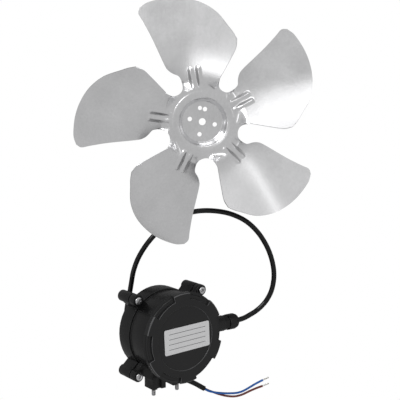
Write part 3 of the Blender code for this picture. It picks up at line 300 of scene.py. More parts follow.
def clouded(name, low, high, roughness, cloud=(150.0, 4.0), haze=0.14, skin=1400.0, strength=0.35, **fixed):
    """Two close colours that wander into each other under a faint relief of skin."""
    finish = Finish(name)
    place = finish.place()
    cloud = finish.noise(place, *cloud)
    finish.set(Base_Color=finish.blend(cloud, low, high), Roughness=cloud * haze + roughness, **fixed)
    return finish.relief(finish.noise(place, skin), 0.03 * MM, strength).material


def seal_rubber():
    """Matt black rubber with a dusty bloom."""
    return clouded("seal_rubber", (0.012, 0.012, 0.012), (0.030, 0.030, 0.031), 0.72,
                   cloud=(120.0, 4.0), haze=0.15, skin=2500.0, strength=0.4)


def flexible_pvc(name, colour, roughness):
    """Extruded insulation: smooth and glossy, with faint draw lines and handling haze."""
    return clouded(name, shade(colour, 0.86), shade(colour, 1.16), roughness,
                   cloud=(60.0, 3.0), haze=0.08, skin=900.0, strength=0.25, Specular_IOR_Level=0.34)


def rolled_aluminium(colour):
    """Rolled sheet after pressing: long grain lines, cloudy oxide and darker lubricant mottle."""
    finish = Finish("rolled_aluminium")
    along = finish.place(scale=(1.0, 0.035, 1.0), centre=IMPELLER_CENTRE)
    open_place = finish.place(centre=IMPELLER_CENTRE)
    grain = finish.noise(along, 1500.0, 3.0, 0.6)
    cloud = finish.noise(open_place, 28.0, 4.0, 0.55)
    mottle = finish.noise(open_place, 420.0, 3.0, 0.6)
    tone = finish.steps(cloud * 0.55 + mottle * 0.25 + grain * 0.20, 0.32, 0.68)
    finish.set(Base_Color=finish.blend(tone, shade(colour, 0.90), shade(colour, 1.10)),
               Metallic=1.0, Roughness=cloud * 0.08 + mottle * 0.05 + 0.16)
    return finish.relief(grain * 0.7 + mottle * 0.3, 0.012 * MM, 0.35).material


def plated_steel(name, colour, roughness):
    """Bright zinc plating or ground steel with fine scratches."""
    finish = Finish(name)
    scratch = finish.noise(finish.place(scale=(1.0, 1.0, 0.08)), 900.0, 3.0, 0.6)
    cloud = finish.noise(finish.place(), 160.0, 3.0)
    finish.set(Base_Color=finish.blend(cloud, shade(colour, 0.85), shade(colour, 1.12)),
               Metallic=1.0, Roughness=scratch * 0.14 + roughness)
    return finish.relief(scratch, 0.01 * MM, 0.3).material


def bare_plate(colour):
    """The nameplate's satin silver film: fine brushed grain, and thin ruled lines with nothing on them."""
    finish = Finish("nameplate_film")
    grain = finish.noise(finish.motor_place(scale=(0.03, 1.0, 1.0)), 2600.0, 2.0, 0.6)
    cloud = finish.noise(finish.place(), 70.0, 2.0)
    across, up, _ = finish.apart(finish.motor_place())
    level = (up - across * math.tan(PLATE_TURN * DEGREE)) / MM
    reach = finish.steps(((across / MM - PLATE_SHIFT).absolute() - RULE_REACH) * -1.0, 0.0, 0.2)
    rules = 0.0
    for height in RULE_HEIGHTS:
        rules = finish.band(level - height, RULE_HALF_WIDTH, 0.05) + rules
    silver = finish.blend(grain * 0.6 + cloud * 0.4, shade(colour, 0.92), shade(colour, 1.06))
    finish.set(Base_Color=finish.blend(rules * reach, silver, RULE_COLOUR),
               Metallic=0.35, Roughness=cloud * 0.10 + 0.36)
    return finish.relief(grain, 0.008 * MM, 0.3).material


def stacked_laminations():
    """Electrical steel sheets of half a millimetre, stacked along the motor's axis."""
    finish = Finish("stacked_laminations")
    place = finish.motor_place()
    edge = finish.steps((finish.apart(place)[2] / (0.5 * MM)).wave(), 0.06, 0.16)
    finish.set(Base_Color=finish.blend(edge, (0.10, 0.09, 0.08), (0.36, 0.36, 0.37)),
               Metallic=0.9, Roughness=finish.noise(place, 300.0) * 0.2 + 0.38)
    return finish.relief(edge, 0.06 * MM, 0.6).material


def enamelled_copper():
    """Copper wire laid in close turns, under clear enamel."""
    finish = Finish("enamelled_copper")
    place = finish.motor_place()
    across = finish.node("ShaderNodeVectorMath", {0: place, 1: (1, 1, 0)}, operation="MULTIPLY")[0]
    radius = finish.node("ShaderNodeVectorMath", {0: across}, operation="LENGTH")[1]
    turns = (radius / (0.45 * MM) * (2 * math.pi)).sin()
    finish.set(Base_Color=finish.blend(turns * 0.5 + 0.5, (0.30, 0.10, 0.04), (0.72, 0.33, 0.15)),
               Metallic=0.85, Roughness=finish.noise(place, 400.0) * 0.12 + 0.26)
    return finish.relief(turns, 0.12 * MM, 0.7).material


def bonded_magnet():
    return clouded("bonded_magnet", (0.08, 0.08, 0.085), (0.14, 0.14, 0.145), 0.4, Metallic=0.5)


def bench_white():
    """A white bench that the camera sees evenly lit, and that throws back less light than it shows."""
    finish = Finish("bench_white")
    finish.set(Base_Color=(0.40, 0.40, 0.40), Roughness=0.9)
    glow = finish.node("ShaderNodeEmission", {"Color": (1.0, 1.0, 1.0), "Strength": 1.0})[0]
    finish.for_camera(glow, finish.shader, finish.nodes["Material Output"])
    return finish.material


@functools.cache
def material(name):
    """The finish of that name, made the first time it is asked for."""
    motor = bpy.context.scene.fan_motor_sizes
    cord = bpy.context.scene.fan_cord_sizes
    impeller = bpy.context.scene.fan_impeller_sizes
    maker, *values = {
        "bench": (bench_white,),
        "housing": (moulded_plastic, "housing_plastic", motor.black, 0.27, 0.55),
        # Painted highlight: a lighter copy of the housing's black for the rounded edges of the shells
        "edge": (moulded_plastic, "worn_edge", shade(motor.black, 6.0), 0.24, 0.55),
        # The cover's last value is the height of its painted highlight band, on the recess wall, rim chamfer
        # and pocket walls
        "cover": (moulded_plastic, "cover_plastic", shade(motor.black, 1.7), 0.27, 0.50, COVER_FACE - 0.45),
        "gland": (moulded_plastic, "gland_plastic", shade(motor.black, 0.4), 0.14, 0.60),
        "rubber": (seal_rubber,),
        "jacket": (flexible_pvc, "jacket_pvc", cord.black, 0.06),
        "blue": (flexible_pvc, "blue_pvc", cord.blue, 0.22),
        "brown": (flexible_pvc, "brown_pvc", cord.brown, 0.22),
        "tinned": (plated_steel, "tinned_strands", (0.90, 0.88, 0.83), 0.22),
        "aluminium": (rolled_aluminium, impeller.colour),
        "steel": (plated_steel, "bright_steel", (0.66, 0.66, 0.67), 0.16),
        "brass": (plated_steel, "turned_brass", (0.85, 0.65, 0.33), 0.20),
        "plate": (bare_plate, motor.plate),
        "laminations": (stacked_laminations,),
        "copper": (enamelled_copper,),
        "insulator": (clouded, "insulator", (0.70, 0.68, 0.60), (0.82, 0.80, 0.72), 0.5),
        "magnet": (bonded_magnet,),
        "board": (clouded, "solder_resist", (0.02, 0.16, 0.06), (0.05, 0.27, 0.11), 0.3),
        "component": (clouded, "component_case", (0.03, 0.03, 0.035), (0.07, 0.07, 0.075), 0.34),
    }[name]
    return maker(*values)


def merge(mesh, within):
    """Closes the seams and poles of a mesh and points its faces outwards."""
    work = bmesh.new()
    work.from_mesh(mesh)
    bmesh.ops.remove_doubles(work, verts=work.verts, dist=within)
    bmesh.ops.dissolve_degenerate(work, edges=work.edges, dist=within)
    bmesh.ops.recalc_face_normals(work, faces=work.faces)
    work.to_mesh(mesh)
    work.free()


def grid_faces(rows, columns, close_rows, close_columns, first):
    """Corner numbers of the four-sided faces between neighbouring rows and columns of a grid."""
    row = np.arange(rows if close_rows else rows - 1)
    column = np.arange(columns if close_columns else columns - 1)
    i, j = np.meshgrid(row, column, indexing="ij")
    below, beside = (i + 1) % rows, (j + 1) % columns
    corners = [i * columns + j, below * columns + j, below * columns + beside, i * columns + beside]
    return first + np.stack(corners, axis=-1).reshape(-1, 4)


def put(name, data):
    """A new object of the scene with that data."""
    made = bpy.data.objects.new(name, data)
    bpy.context.scene.collection.objects.link(made)
    return made


def modify(piece, name, kind, **settings):
    """Adds a modifier and sets it up."""
    settle(piece.modifiers.new(name, kind), **settings)


def surface(name, grids, finish, closed=(False, True), within=1e-7):
    """An object made of grids of points. closed says whether their rows and their columns close."""
    faces, start = [], 0
    for grid in grids:
        rows, columns = grid.shape[:2]
        faces.append(grid_faces(rows, columns, *closed, start))
        start += rows * columns
    mesh = bpy.data.meshes.new(name)
    points = np.concatenate([grid.reshape(-1, 3) for grid in grids])
    mesh.from_pydata(points.tolist(), [], np.concatenate(faces).tolist())
    mesh.validate()
    merge(mesh, within)
    mesh.shade_smooth()
    mesh.set_sharp_from_angle(angle=SMOOTH_UNDER)
    mesh.materials.append(material(finish))
    return put(name, mesh)


def motor_place(points):
    """Points given in the motor's own axes, moved into the row's frame."""
    return MOTOR_ORIGIN + points @ np.stack([MOTOR_H, MOTOR_U, MOTOR_N])


def along_axis(origin, across, up, forward):
    """A function that moves points from an axis of its own into the motor's axes."""
    basis = np.stack([across, up, forward]).astype(float)
    return lambda points: np.array(origin, float) + points @ basis


def seated(piece, body, slot, *nodes):
    """The piece stands for its CAD nodes: it hides them and rides on their body. The slot is not used."""
    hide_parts(*nodes)
    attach(piece, body)


def motor_piece(name, grid, finish, slot, node, closed=(False, True)):
    """A surface in the motor's own millimetres that stands for one of its CAD nodes."""
    seated(surface(name, [motor_place(grid * MM)], finish, closed), "motor", slot, node)


def turned(points, angle):
    """Points turned about the third axis."""
    c, n = math.cos(angle), math.sin(angle)
    return points @ np.array([[c, n, 0], [-n, c, 0], [0, 0, 1]])


def full_circle(count):
    return np.linspace(0, 2 * math.pi, count, endpoint=False)


def ring_grid(radius, height, angles):
    """Points at each angle round the axis, with a radius and a height for each row."""
    x, y = radius * np.cos(angles), radius * np.sin(angles)
    return np.stack([x, y, np.broadcast_to(height, x.shape)], axis=-1)


def revolved(profile, angles):
    """A turned surface: each (radius, height) pair carried round the axis."""
    profile = np.asarray(profile, float)
    return ring_grid(profile[:, :1], profile[:, 1:], angles)


def drawn_in(grid, depth):
    """The grid with its points moved towards the axis, each by its own depth."""
    radius = np.maximum(np.hypot(grid[..., 0], grid[..., 1]), 1.0)
    return np.concatenate([grid[..., :2] * (1 - depth / radius)[..., None], grid[..., 2:]], axis=-1)


def unit(vector):
    return vector / np.linalg.norm(vector)


def thread(height, pitch, count):
    """How far each point lies from its thread's crest, from 0 to 1: a triangle wave that winds up."""
    turn = np.linspace(0, 1, count, endpoint=False)[None, :]
    return np.abs(((height / pitch - turn) % 1.0) - 0.5) * 2


def smoothstep(value):
    """A smooth run from 0 to 1: three squares less two cubes."""
    value = np.clip(value, 0.0, 1.0)
    return value * value * (3 - 2 * value)


def rounded(corners, radius, steps=5):
    """A profile whose inner corners are replaced by quadratic curves that start a radius away."""
    corners = np.asarray(corners, float)
    made = [corners[0]]
    for before, at, after in zip(corners, corners[1:], corners[2:]):
        back, on = before - at, after - at
        reach = min(radius, np.linalg.norm(back) * 0.45, np.linalg.norm(on) * 0.45)
        start, end = at + unit(back) * reach, at + unit(on) * reach
        t = np.linspace(0, 1, steps)[:, None]
        made.extend((1 - t) ** 2 * start + 2 * t * (1 - t) * at + t ** 2 * end)
    made.append(corners[-1])
    return np.array(made)


def flow(points, count):
    """Points evenly spaced on the smooth curve through the given points (Catmull-Rom)."""
    points = np.asarray(points, float)
    ends = np.concatenate([[2 * points[0] - points[1]], points, [2 * points[-1] - points[-2]]])
    t = np.linspace(0, 1, 24, endpoint=False)[None, :, None]
    a, b, c, d = (ends[k:len(points) - 1 + k, None] for k in range(4))
    fine = 0.5 * (2 * b + (c - a) * t + (2 * a - 5 * b + 4 * c - d) * t ** 2
                  + (3 * b - a - 3 * c + d) * t ** 3)
    fine = np.concatenate([fine.reshape(-1, points.shape[1]), points[-1:]])
    walked = np.concatenate([[0], np.cumsum(np.linalg.norm(np.diff(fine, axis=0), axis=1))])
    due = np.linspace(0, walked[-1], count)
    return np.stack([np.interp(due, walked, fine[:, k]) for k in range(points.shape[1])], axis=1)


# The routes on the bench in millimetres. A point with no height of its own lies on the bench.
CORD_ROUTE = (
    (41.5, -123.3, 9.6), (46.5, -122.4, 6.6), (52.0, -120.2, 4.3), (58.0, -117.0, 3.1), (64.5, -111.6, 2.7),
    (70.3, -104.3), (74.9, -94.0), (76.9, -80.1), (75.0, -65.1), (69.5, -49.8), (60.4, -35.0),
    (48.5, -23.2), (35.4, -16.0), (22.4, -12.2), (6.0, -10.6), (-9.3, -12.1), (-24.5, -17.4),
    (-37.0, -25.4), (-47.6, -35.7), (-56.6, -46.8), (-63.9, -59.3), (-68.6, -72.3), (-71.0, -85.4),
    (-73.2, -98.0), (-75.6, -111.0), (-76.4, -125.0), (-73.4, -140.0), (-66.0, -154.6), (-54.6, -167.4),
    (-40.5, -177.4), (-24.5, -184.8), (-8.5, -191.4), (4.5, -199.0),
)
CORES = (
    ("blue", (
        (4.9, -199.2, 3.85), (9.0, -201.3, 3.75), (13.5, -202.6, 3.65), (18.0, -203.6, 3.4),
        (22.3, -204.3, 2.9), (27.5, -205.1, 2.0), (32.9, -205.5, 1.25), (38.2, -205.4), (43.4, -204.3),
        (48.0, -202.3), (52.2, -199.9), (59.5, -195.7), (66.8, -192.1),
    ), ((67.2, -191.9), (72.9, -189.5, 1.0))),
    ("brown", (
        (4.9, -199.2, 1.45), (9.0, -201.5, 1.25), (13.3, -203.3), (17.0, -204.9), (21.2, -206.4),
        (27.7, -208.2), (35.6, -209.1), (41.8, -208.2), (47.0, -206.4), (52.4, -203.9), (59.5, -201.0),
        (66.5, -198.6),
    ), ((66.9, -198.45), (73.1, -196.2, 1.0))),
)
# Heights of the cord's middle on the bench, its start at the gland and its twisted ends
JACKET_REST = 2.65
CORE_REST = 1.15
GLAND_AXIS = (1.5, 34.5)
CORD_START = 75.5
CORD_LEAD = 2.5
STRANDS = 7
STRAND_LAY = 9.0
STRAND_GROOVE = 0.2


def on_bench(route, rest):
    return np.array([(*point, rest)[:3] for point in route]) * MM + ROUTE_SHIFT


def curve_cord(name, points, diameter, finish):
    """A round cord as one open spline through the points, with closed ends."""
    curve = settle(bpy.data.curves.new(name, "CURVE"), dimensions="3D", bevel_depth=diameter / 2,
                   bevel_resolution=6, use_fill_caps=True)
    spline = curve.splines.new("POLY")
    spline.points.add(len(points) - 1)
    spline.points.foreach_set("co", np.column_stack([points, np.ones(len(points))]).ravel())
    spline.use_smooth = True
    curve.materials.append(material(finish))
    return put(name, curve)


def strands(name, ends, diameter):
    """A twisted end: a tube whose radius dips between each of seven strands that wind along it.

    Formula: radius = half the diameter, less a tenth of the diameter times the squared sine of half
    the strands' angle, and the tube is drawn in over its last third of a diameter.
    """
    start, end = ends
    length = np.linalg.norm(end - start)
    forward = (end - start) / length
    across = unit(np.cross(forward, (0.0, 0.0, 1.0)))
    up = np.cross(across, forward)
    s = np.linspace(0, length, 40)[:, None]
    a = full_circle(56)[None, :]
    strand = STRANDS * (a + 2 * math.pi * s / (STRAND_LAY * MM)) / 2
    fade = np.sqrt(np.clip((length - s) / (0.35 * diameter), 0.15, 1.0))
    radius = diameter / 2 * (1 - STRAND_GROOVE * np.sin(strand) ** 2) * fade
    ring = radius[..., None] * (np.cos(a)[..., None] * across + np.sin(a)[..., None] * up)
    root, tip = (np.broadcast_to(point, (1, 56, 3)) for point in ends)
    tube = np.concatenate([root, start + s[..., None] * forward + ring, tip])
    return surface(name, [tube], "tinned")


class FAN_OT_cord(bpy.types.Operator):
    """Lays the jacket, its two cores and their tinned ends along the route"""
    bl_idname = "fan.cord"
    bl_label = "Cord"

    def execute(self, context):
        sizes = context.scene.fan_cord_sizes
        reach = np.array([[CORD_START, 0, 0], [CORD_START + CORD_LEAD, 0, 0]])
        leaving = motor_place((reach + [0, *GLAND_AXIS]) * MM)
        jacket_path = flow(np.concatenate([leaving, on_bench(CORD_ROUTE, JACKET_REST)]), 260)
        jacket = curve_cord("supply_cord", jacket_path, sizes.jacket, "jacket")
        seated(jacket, "motor", "cord_jacket", "cord_jacket")
        for colour, route, tip_route in CORES:
            path = flow(on_bench(route, CORE_REST), 90)
            core = curve_cord(f"{colour}_core_wire", path, sizes.core, colour)
            seated(core, "motor", f"{colour}_core", f"{colour}_core")
            tip = strands(f"{colour}_strands", on_bench(tip_route, CORE_REST), sizes.wire)
            seated(tip, "motor", "tinned_copper", f"{colour}_tinned_end")
        return {"FINISHED"}


# The blade's outline in its own polar frame: radius in millimetres and angle in degrees
EDGE_LEADING = ((54.1, -2.6), (66.0, -3.8), (77.0, -4.2), (85.0, -2.6))
EDGE_OUTER = (
    (90.0, 0.9), (94.0, 4.0), (106.0, 11.5), (115.0, 19.0), (121.0, 26.5), (125.0, 34.0),
    (127.5, 42.0), (126.5, 46.4),
)
EDGE_TRAILING = (
    (50.0, 45.5), (55.0, 49.5), (60.0, 51.5), (67.0, 51.5), (95.0, 48.8), (112.8, 48.3), (122.0, 48.2),
)
BLADE_COUNT = 5
PITCH = 360.0 / BLADE_COUNT
NOTCH_RADIUS = 10.3
NOTCH_REACH = 46.0
NOTCH_ANGLE = 58.0
NOTCH_HALF = math.asin(NOTCH_RADIUS / NOTCH_REACH) / DEGREE
NECK_RADIUS = math.sqrt(NOTCH_REACH ** 2 - NOTCH_RADIUS ** 2)
BORE_RADIUS = 3.5
FLOOR_RADIUS = 20.3
RIM_RADIUS = 25.4
RING_RADIUS = 31.0
RING_HEIGHT = 27.0
FLOOR_DROP = 7.5
CROWN = 0.9
FLANK_WIDTH = 12.0
BLADE_BASE = 22.0
CREASE_START = (50.0, 38.0)
CREASE_END = (118.0, 22.0)
WING_SLOPE = 0.40
CURL_SLOPE = 0.20
CURL_WIDTH = 12.0
ROOT_DROP = 7.2
ROOT_FADE = 12.0
BEAD_ANGLE = 27.5
BEAD_APART = 3.6
BEAD_HALF_WIDTH = 3.0
BEAD_REACH = (31.0, 55.0)
FIXING_HOLES = [(12.7, 5.7 + 90.0 * k, 2.25) for k in range(4)]
SPARE_HOLE = (13.7, 27.7, 2.1)
NECK_STEPS = 61
NOTCH_STEPS = 31
EDGE_STEPS = 400


def polar(radius, degrees):
    """Points from a radius in millimetres and an angle in degrees."""
    angle = np.asarray(degrees, float) * DEGREE
    return np.stack([radius * np.cos(angle), radius * np.sin(angle)], axis=-1)


def crease_distance(at):
    """How far points lie on the leading side of the crease line."""
    start, end = polar(*CREASE_START), polar(*CREASE_END)
    run = unit(end - start)
    return (at - start) @ np.array([run[1], -run[0]])


def blade_height(at):
    """A flat wing behind the crease and a curl ahead of it.

    Formula: the base height, less a drop that fades away from the ring, plus the wing's slope times the
    crease distance d, plus the curl's slope times half the sum of d and the root of d and width squared.
    """
    d = crease_distance(at)
    radius = np.linalg.norm(at, axis=-1)
    root = ROOT_DROP * np.exp(-np.maximum(0.0, radius - RING_RADIUS) / ROOT_FADE)
    return BLADE_BASE - root + WING_SLOPE * d + CURL_SLOPE * 0.5 * (d + np.hypot(d, CURL_WIDTH))


def hub_height(radius):
    """The dish: a flat floor, a rounded wall up to the rim and a slightly crowned ring."""
    wall = smoothstep((radius - FLOOR_RADIUS + 0.6) / (RIM_RADIUS - FLOOR_RADIUS + 0.4))
    crown = CROWN * np.sin(math.pi * np.clip((radius - RIM_RADIUS) / (RING_RADIUS - RIM_RADIUS), 0, 1))
    return RING_HEIGHT - FLOOR_DROP * (1 - wall) + crown


def bead_height(at, height):
    """Two pressed ridges side by side: a squared cosine across each, rounded off at its ends."""
    axis = polar(1.0, BEAD_ANGLE)
    along = at @ axis
    across = at @ np.array([-axis[1], axis[0]])
    low, high = BEAD_REACH
    past = np.maximum(0.0, np.maximum(low + BEAD_HALF_WIDTH - along, along - high + BEAD_HALF_WIDTH))
    ridge = np.zeros_like(along)
    for side in (-1, 1):
        away = np.hypot(across - side * BEAD_APART, past) / BEAD_HALF_WIDTH
        ridge = np.maximum(ridge, np.cos(0.5 * math.pi * np.clip(away, 0, 1)) ** 2)
    return ridge * height


def sheet_height(at, share, bead):
    """The whole pressing: the dish inside, the blade outside and a smooth flank between them."""
    radius = np.linalg.norm(at, axis=-1)
    flank = share * smoothstep((radius - RING_RADIUS) / FLANK_WIDTH)
    return (1 - flank) * hub_height(radius) + flank * blade_height(at) + bead_height(at, bead)


def web_columns():
    """Angles once round a fifth of the hub, the web's outer radius at each, and the blade's share.

    Formula: across the neck the radius is even and the share is 1. The notch is an arc about a centre
    between the blades, and the share falls from 1 at its ends to 0 in its middle.
    """
    first, last = NOTCH_ANGLE + NOTCH_HALF - PITCH, NOTCH_ANGLE - NOTCH_HALF
    neck = np.linspace(first, last, NECK_STEPS)
    swing = np.linspace(NOTCH_HALF / 90 - 1, 1 - NOTCH_HALF / 90, NOTCH_STEPS)
    out = NOTCH_REACH - NOTCH_RADIUS * np.cos(swing * math.pi / 2)
    aside = NOTCH_RADIUS * np.sin(swing * math.pi / 2)
    notch = NOTCH_ANGLE + np.arctan2(aside, out) / DEGREE
    edge = np.concatenate([np.full(NECK_STEPS, NECK_RADIUS), np.hypot(out, aside)[1:]])
    share = np.concatenate([np.ones(NECK_STEPS), smoothstep(np.abs(swing[1:]) / swing[-1])])
    return neck, np.concatenate([neck, notch[1:]]), edge, share


def impeller_grids(bead):
    """Grids of one fifth of the pressing, turned into all five places, in millimetres."""
    neck, angles, edge, share = web_columns()
    dish = np.concatenate([
        np.linspace(BORE_RADIUS, FLOOR_RADIUS - 0.6, 6), np.linspace(FLOOR_RADIUS, RIM_RADIUS, 9),
        np.linspace(RIM_RADIUS, RING_RADIUS, 9)[1:],
    ])[:, None] * np.ones_like(edge)
    web = RING_RADIUS + np.linspace(0, 1, 17)[1:, None] * (edge - RING_RADIUS)
    radius = np.concatenate([dish, web])
    own = polar(radius, np.where(angles > NOTCH_ANGLE, angles - PITCH, angles))
    hub = np.concatenate([polar(radius, angles), sheet_height(own, share, bead)[..., None]], axis=-1)

    leading, outer, trailing = (flow(polar(*np.array(run).T), EDGE_STEPS) for run in (
        [(NECK_RADIUS, neck[0]), *EDGE_LEADING],
        [EDGE_LEADING[-1], *EDGE_OUTER],
        [(NECK_RADIUS, neck[-1]), *EDGE_TRAILING, EDGE_OUTER[-1]]))
    s = np.linspace(0, 1, 76) ** 1.12
    t = np.linspace(0, 1, NECK_STEPS)
    pick = np.linspace(0, 1, EDGE_STEPS)
    left, right, far = (
        np.stack([np.interp(at, pick, side[:, k]) for k in (0, 1)], axis=-1)
        for at, side in ((s, leading), (s, trailing), (t, outer)))
    near = polar(NECK_RADIUS, neck)
    s, t = s[:, None, None], t[None, :, None]
    blade = (1 - s) * near + s * far + (1 - t) * left[:, None] + t * right[:, None]
    blade -= (1 - s) * ((1 - t) * near[0] + t * near[-1]) + s * ((1 - t) * far[0] + t * far[-1])
    blade = np.concatenate([blade, sheet_height(blade, 1.0, bead)[..., None]], axis=-1)
    return [turned(grid, PITCH * k * DEGREE) for k in range(BLADE_COUNT) for grid in (hub, blade)]


def apply_modifiers(piece):
    bpy.context.view_layer.update()
    seen = piece.evaluated_get(bpy.context.evaluated_depsgraph_get())
    mesh = bpy.data.meshes.new_from_object(seen)
    piece.modifiers.clear()
    piece.data = mesh


class FAN_OT_impeller(bpy.types.Operator):
    """Presses the five-blade impeller from one sheet and drills its hub"""
    bl_idname = "fan.impeller"
    bl_label = "Impeller"

    def execute(self, context):
        sizes = context.scene.fan_impeller_sizes
        floor = (RING_HEIGHT - FLOOR_DROP) * MM - sizes.sheet / 2
        middle = IMPELLER_CENTRE - [0, 0, floor]
        grids = [turned(grid * MM, sizes.turn) + middle for grid in impeller_grids(sizes.bead_height / MM)]
        piece = surface("pressed_impeller", grids, "aluminium", closed=(False, False), within=2e-5)
        modify(piece, "sheet", "SOLIDIFY", thickness=sizes.sheet, offset=0)
        apply_modifiers(piece)
        cutters = [self.cutter(radius, angle + sizes.turn / DEGREE, hole)
                   for radius, angle, hole in [*FIXING_HOLES, SPARE_HOLE]]
        for cutter in cutters:
            modify(piece, "hole", "BOOLEAN", operation="DIFFERENCE", object=cutter)
        apply_modifiers(piece)
        for cutter in cutters:
            bpy.data.objects.remove(cutter)
        piece.data.shade_smooth()
        piece.data.set_sharp_from_angle(angle=45 * DEGREE)
        seated(piece, "impeller", "pressed_aluminium", "impeller")
        return {"FINISHED"}

    @staticmethod
    def cutter(radius, angle, hole):
        """A short round bar that stands through the hub's floor."""
        x, y = polar(radius, angle) * MM
        low, high = -3 * MM, 3 * MM
        profile = [(0, high), (hole * MM, high), (hole * MM, low), (0, low)]
        bar = revolved(profile, full_circle(40)) + IMPELLER_CENTRE + [x, y, 0]
        return surface("hole_bar", [bar], "aluminium")


# Heights along the motor's axis and radii of the rear cover, in millimetres
COVER_SEAT = 48.5
COVER_FACE = 54.2
COVER_UNDER = 51.5
SKIRT_INNER = 40.9
RECESS_RADIUS = 31.4
RECESS_DEPTH = 1.0
RECESS_WALL = 0.3
POCKET_WIDTH = 35.0
POCKET_TURN = 5.0
POCKET_INNER = 38.5
POCKET_DROP = 2.1
POCKET_SIDE = 1.7
POCKET_EDGE = 0.35
RIM_CHAMFER = 1.2
# Painted highlight: half height and colour of the lighter band painted on the cover's recess wall, rim
# chamfer and pocket walls
PAINTED_HIGHLIGHT_REACH = 0.33
PAINTED_HIGHLIGHT_COLOUR = (0.13, 0.13, 0.134)


def cover_angles(count):
    """Angles round the cover in degrees, packed closer where a pocket's sides stand."""
    pitch = 360 / count
    half = POCKET_WIDTH / 2
    near = np.linspace(-POCKET_EDGE, POCKET_EDGE, 6)
    one = np.concatenate([
        np.linspace(-half + 1.2, half - 1.2, 15), half + near,
        np.linspace(half + 1.2, pitch - half - 1.2, 13), pitch - half + near])
    return np.concatenate([one + pitch * k + POCKET_TURN for k in range(count)])


class FAN_OT_cover(bpy.types.Operator):
    """Moulds the rear cover with its finger pockets"""
    bl_idname = "fan.cover"
    bl_label = "Cover"

    def execute(self, context):
        sizes = context.scene.fan_motor_sizes
        outer = sizes.cover_radius / MM
        angles = cover_angles(sizes.pocket_count)
        floor = COVER_FACE - RECESS_DEPTH
        profile = np.concatenate([
            [(0.0, floor), (20.0, floor)],
            rounded([(30.0, floor), (RECESS_RADIUS, floor), (RECESS_RADIUS + RECESS_WALL, COVER_FACE),
                     (POCKET_INNER - 2.5, COVER_FACE)], 0.3),
            [(POCKET_INNER + step, COVER_FACE) for step in (-0.6, -0.2, -0.05, 0.1, 0.25, 0.6)],
            rounded([(outer - 2.6, COVER_FACE), (outer - RIM_CHAMFER, COVER_FACE),
                     (outer, COVER_FACE - RIM_CHAMFER), (outer, COVER_SEAT + 1.6)], 0.35),
            rounded([(outer, COVER_SEAT + 1.2), (outer, COVER_SEAT), (SKIRT_INNER, COVER_SEAT),
                     (SKIRT_INNER, COVER_UNDER), (0.0, COVER_UNDER)], 0.3, 4),
        ])
        grid = revolved(profile, angles * DEGREE)
        pitch = 360 / sizes.pocket_count
        from_middle = np.abs((angles - POCKET_TURN + pitch / 2) % pitch - pitch / 2)
        pocket = smoothstep((POCKET_WIDTH / 2 + POCKET_EDGE - from_middle) / (2 * POCKET_EDGE))[None, :]
        radius = np.hypot(grid[..., 0], grid[..., 1])
        height = grid[..., 2]
        reach = smoothstep((radius - POCKET_INNER + 0.2) / 0.45)
        outside = radius > SKIRT_INNER + 0.5
        top = smoothstep((height - COVER_SEAT - 0.4) / 0.8)
        side = outside * smoothstep((radius - (outer - POCKET_SIDE - 1.0)) / 1.5)
        drop = POCKET_DROP * pocket * reach * (height > COVER_FACE - 2.6)
        grid = drawn_in(grid, POCKET_SIDE * pocket * side * top)
        grid[..., 2] -= drop
        motor_piece("moulded_cover", grid, "cover", "cover_plastic", "rear_cover")
        return {"FINISHED"}


def plate_grid(width, depth, corner, low, thick, edge):
    """A flat plate with round corners and a rounded edge.

    Formula: the outline is a rectangle whose corners are quarter circles, drawn in towards the
    middle by each ring's inset, and the height follows a quarter circle over the edge.
    """
    a = np.linspace(0, math.pi / 2, 9)
    corners = [(1, 1, 0), (-1, 1, 1), (-1, -1, 2), (1, -1, 3)]
    outline = np.concatenate([
        np.stack([sx * (width / 2 - corner) + corner * np.cos(a + k * math.pi / 2),
                  sy * (depth / 2 - corner) + corner * np.sin(a + k * math.pi / 2)], axis=-1)
        for sx, sy, k in corners])
    rise = np.linspace(0, math.pi / 2, 5)
    insets = np.concatenate([[0.0], edge * (1 - np.cos(rise)), [edge + 0.6]])
    heights = np.concatenate([[low], low + thick - edge + edge * np.sin(rise), [low + thick]])
    rings = [np.column_stack([outline * (1 - inset / np.array([width / 2, depth / 2])),
                              np.full(len(outline), height)]) for inset, height in zip(insets, heights)]
    middle = np.zeros((1, len(outline), 3))
    return np.concatenate([middle + [0, 0, low], np.array(rings), middle + [0, 0, low + thick]])


class FAN_OT_nameplate(bpy.types.Operator):
    """Lays the bare silver nameplate on the cover"""
    bl_idname = "fan.nameplate"
    bl_label = "Nameplate"

    def execute(self, context):
        grid = plate_grid(*PLATE_SIZE, PLATE_CORNER, PLATE_LOW, PLATE_THICK, PLATE_EDGE)
        grid[..., 0] += PLATE_SHIFT
        grid = turned(grid, PLATE_TURN * DEGREE)
        motor_piece("bare_nameplate", grid, "plate", "nameplate", "nameplate")
        return {"FINISHED"}


# The housing screws, in millimetres
EAR_CIRCLE = 53.0
EAR_TOP = 28.5
HEAD_RADIUS = 3.6
HEAD_HEIGHT = 2.2
SHANK_RADIUS = 2.0
SHANK_LENGTH = 22.0
DRIVE_REACH = 2.1
DRIVE_WIDTH = 0.8
DRIVE_DEPTH = 1.3
CROWN_SHARE = 0.92
CROWN_DROP = 0.45
SCREW_PITCH = 0.7
SCREW_CUT = 0.35
STUD_CUT = 0.38


def cross_recess(x, y):
    """How deep a cross-shaped drive is cut: the deeper of two crossed bars with sloping walls."""
    def bar(along, across):
        walls = smoothstep((DRIVE_WIDTH / 2 + 0.12 - np.abs(across)) / 0.24)
        return walls * smoothstep((DRIVE_REACH - np.abs(along)) / 0.7)
    return DRIVE_DEPTH * np.maximum(bar(x, y), bar(y, x))


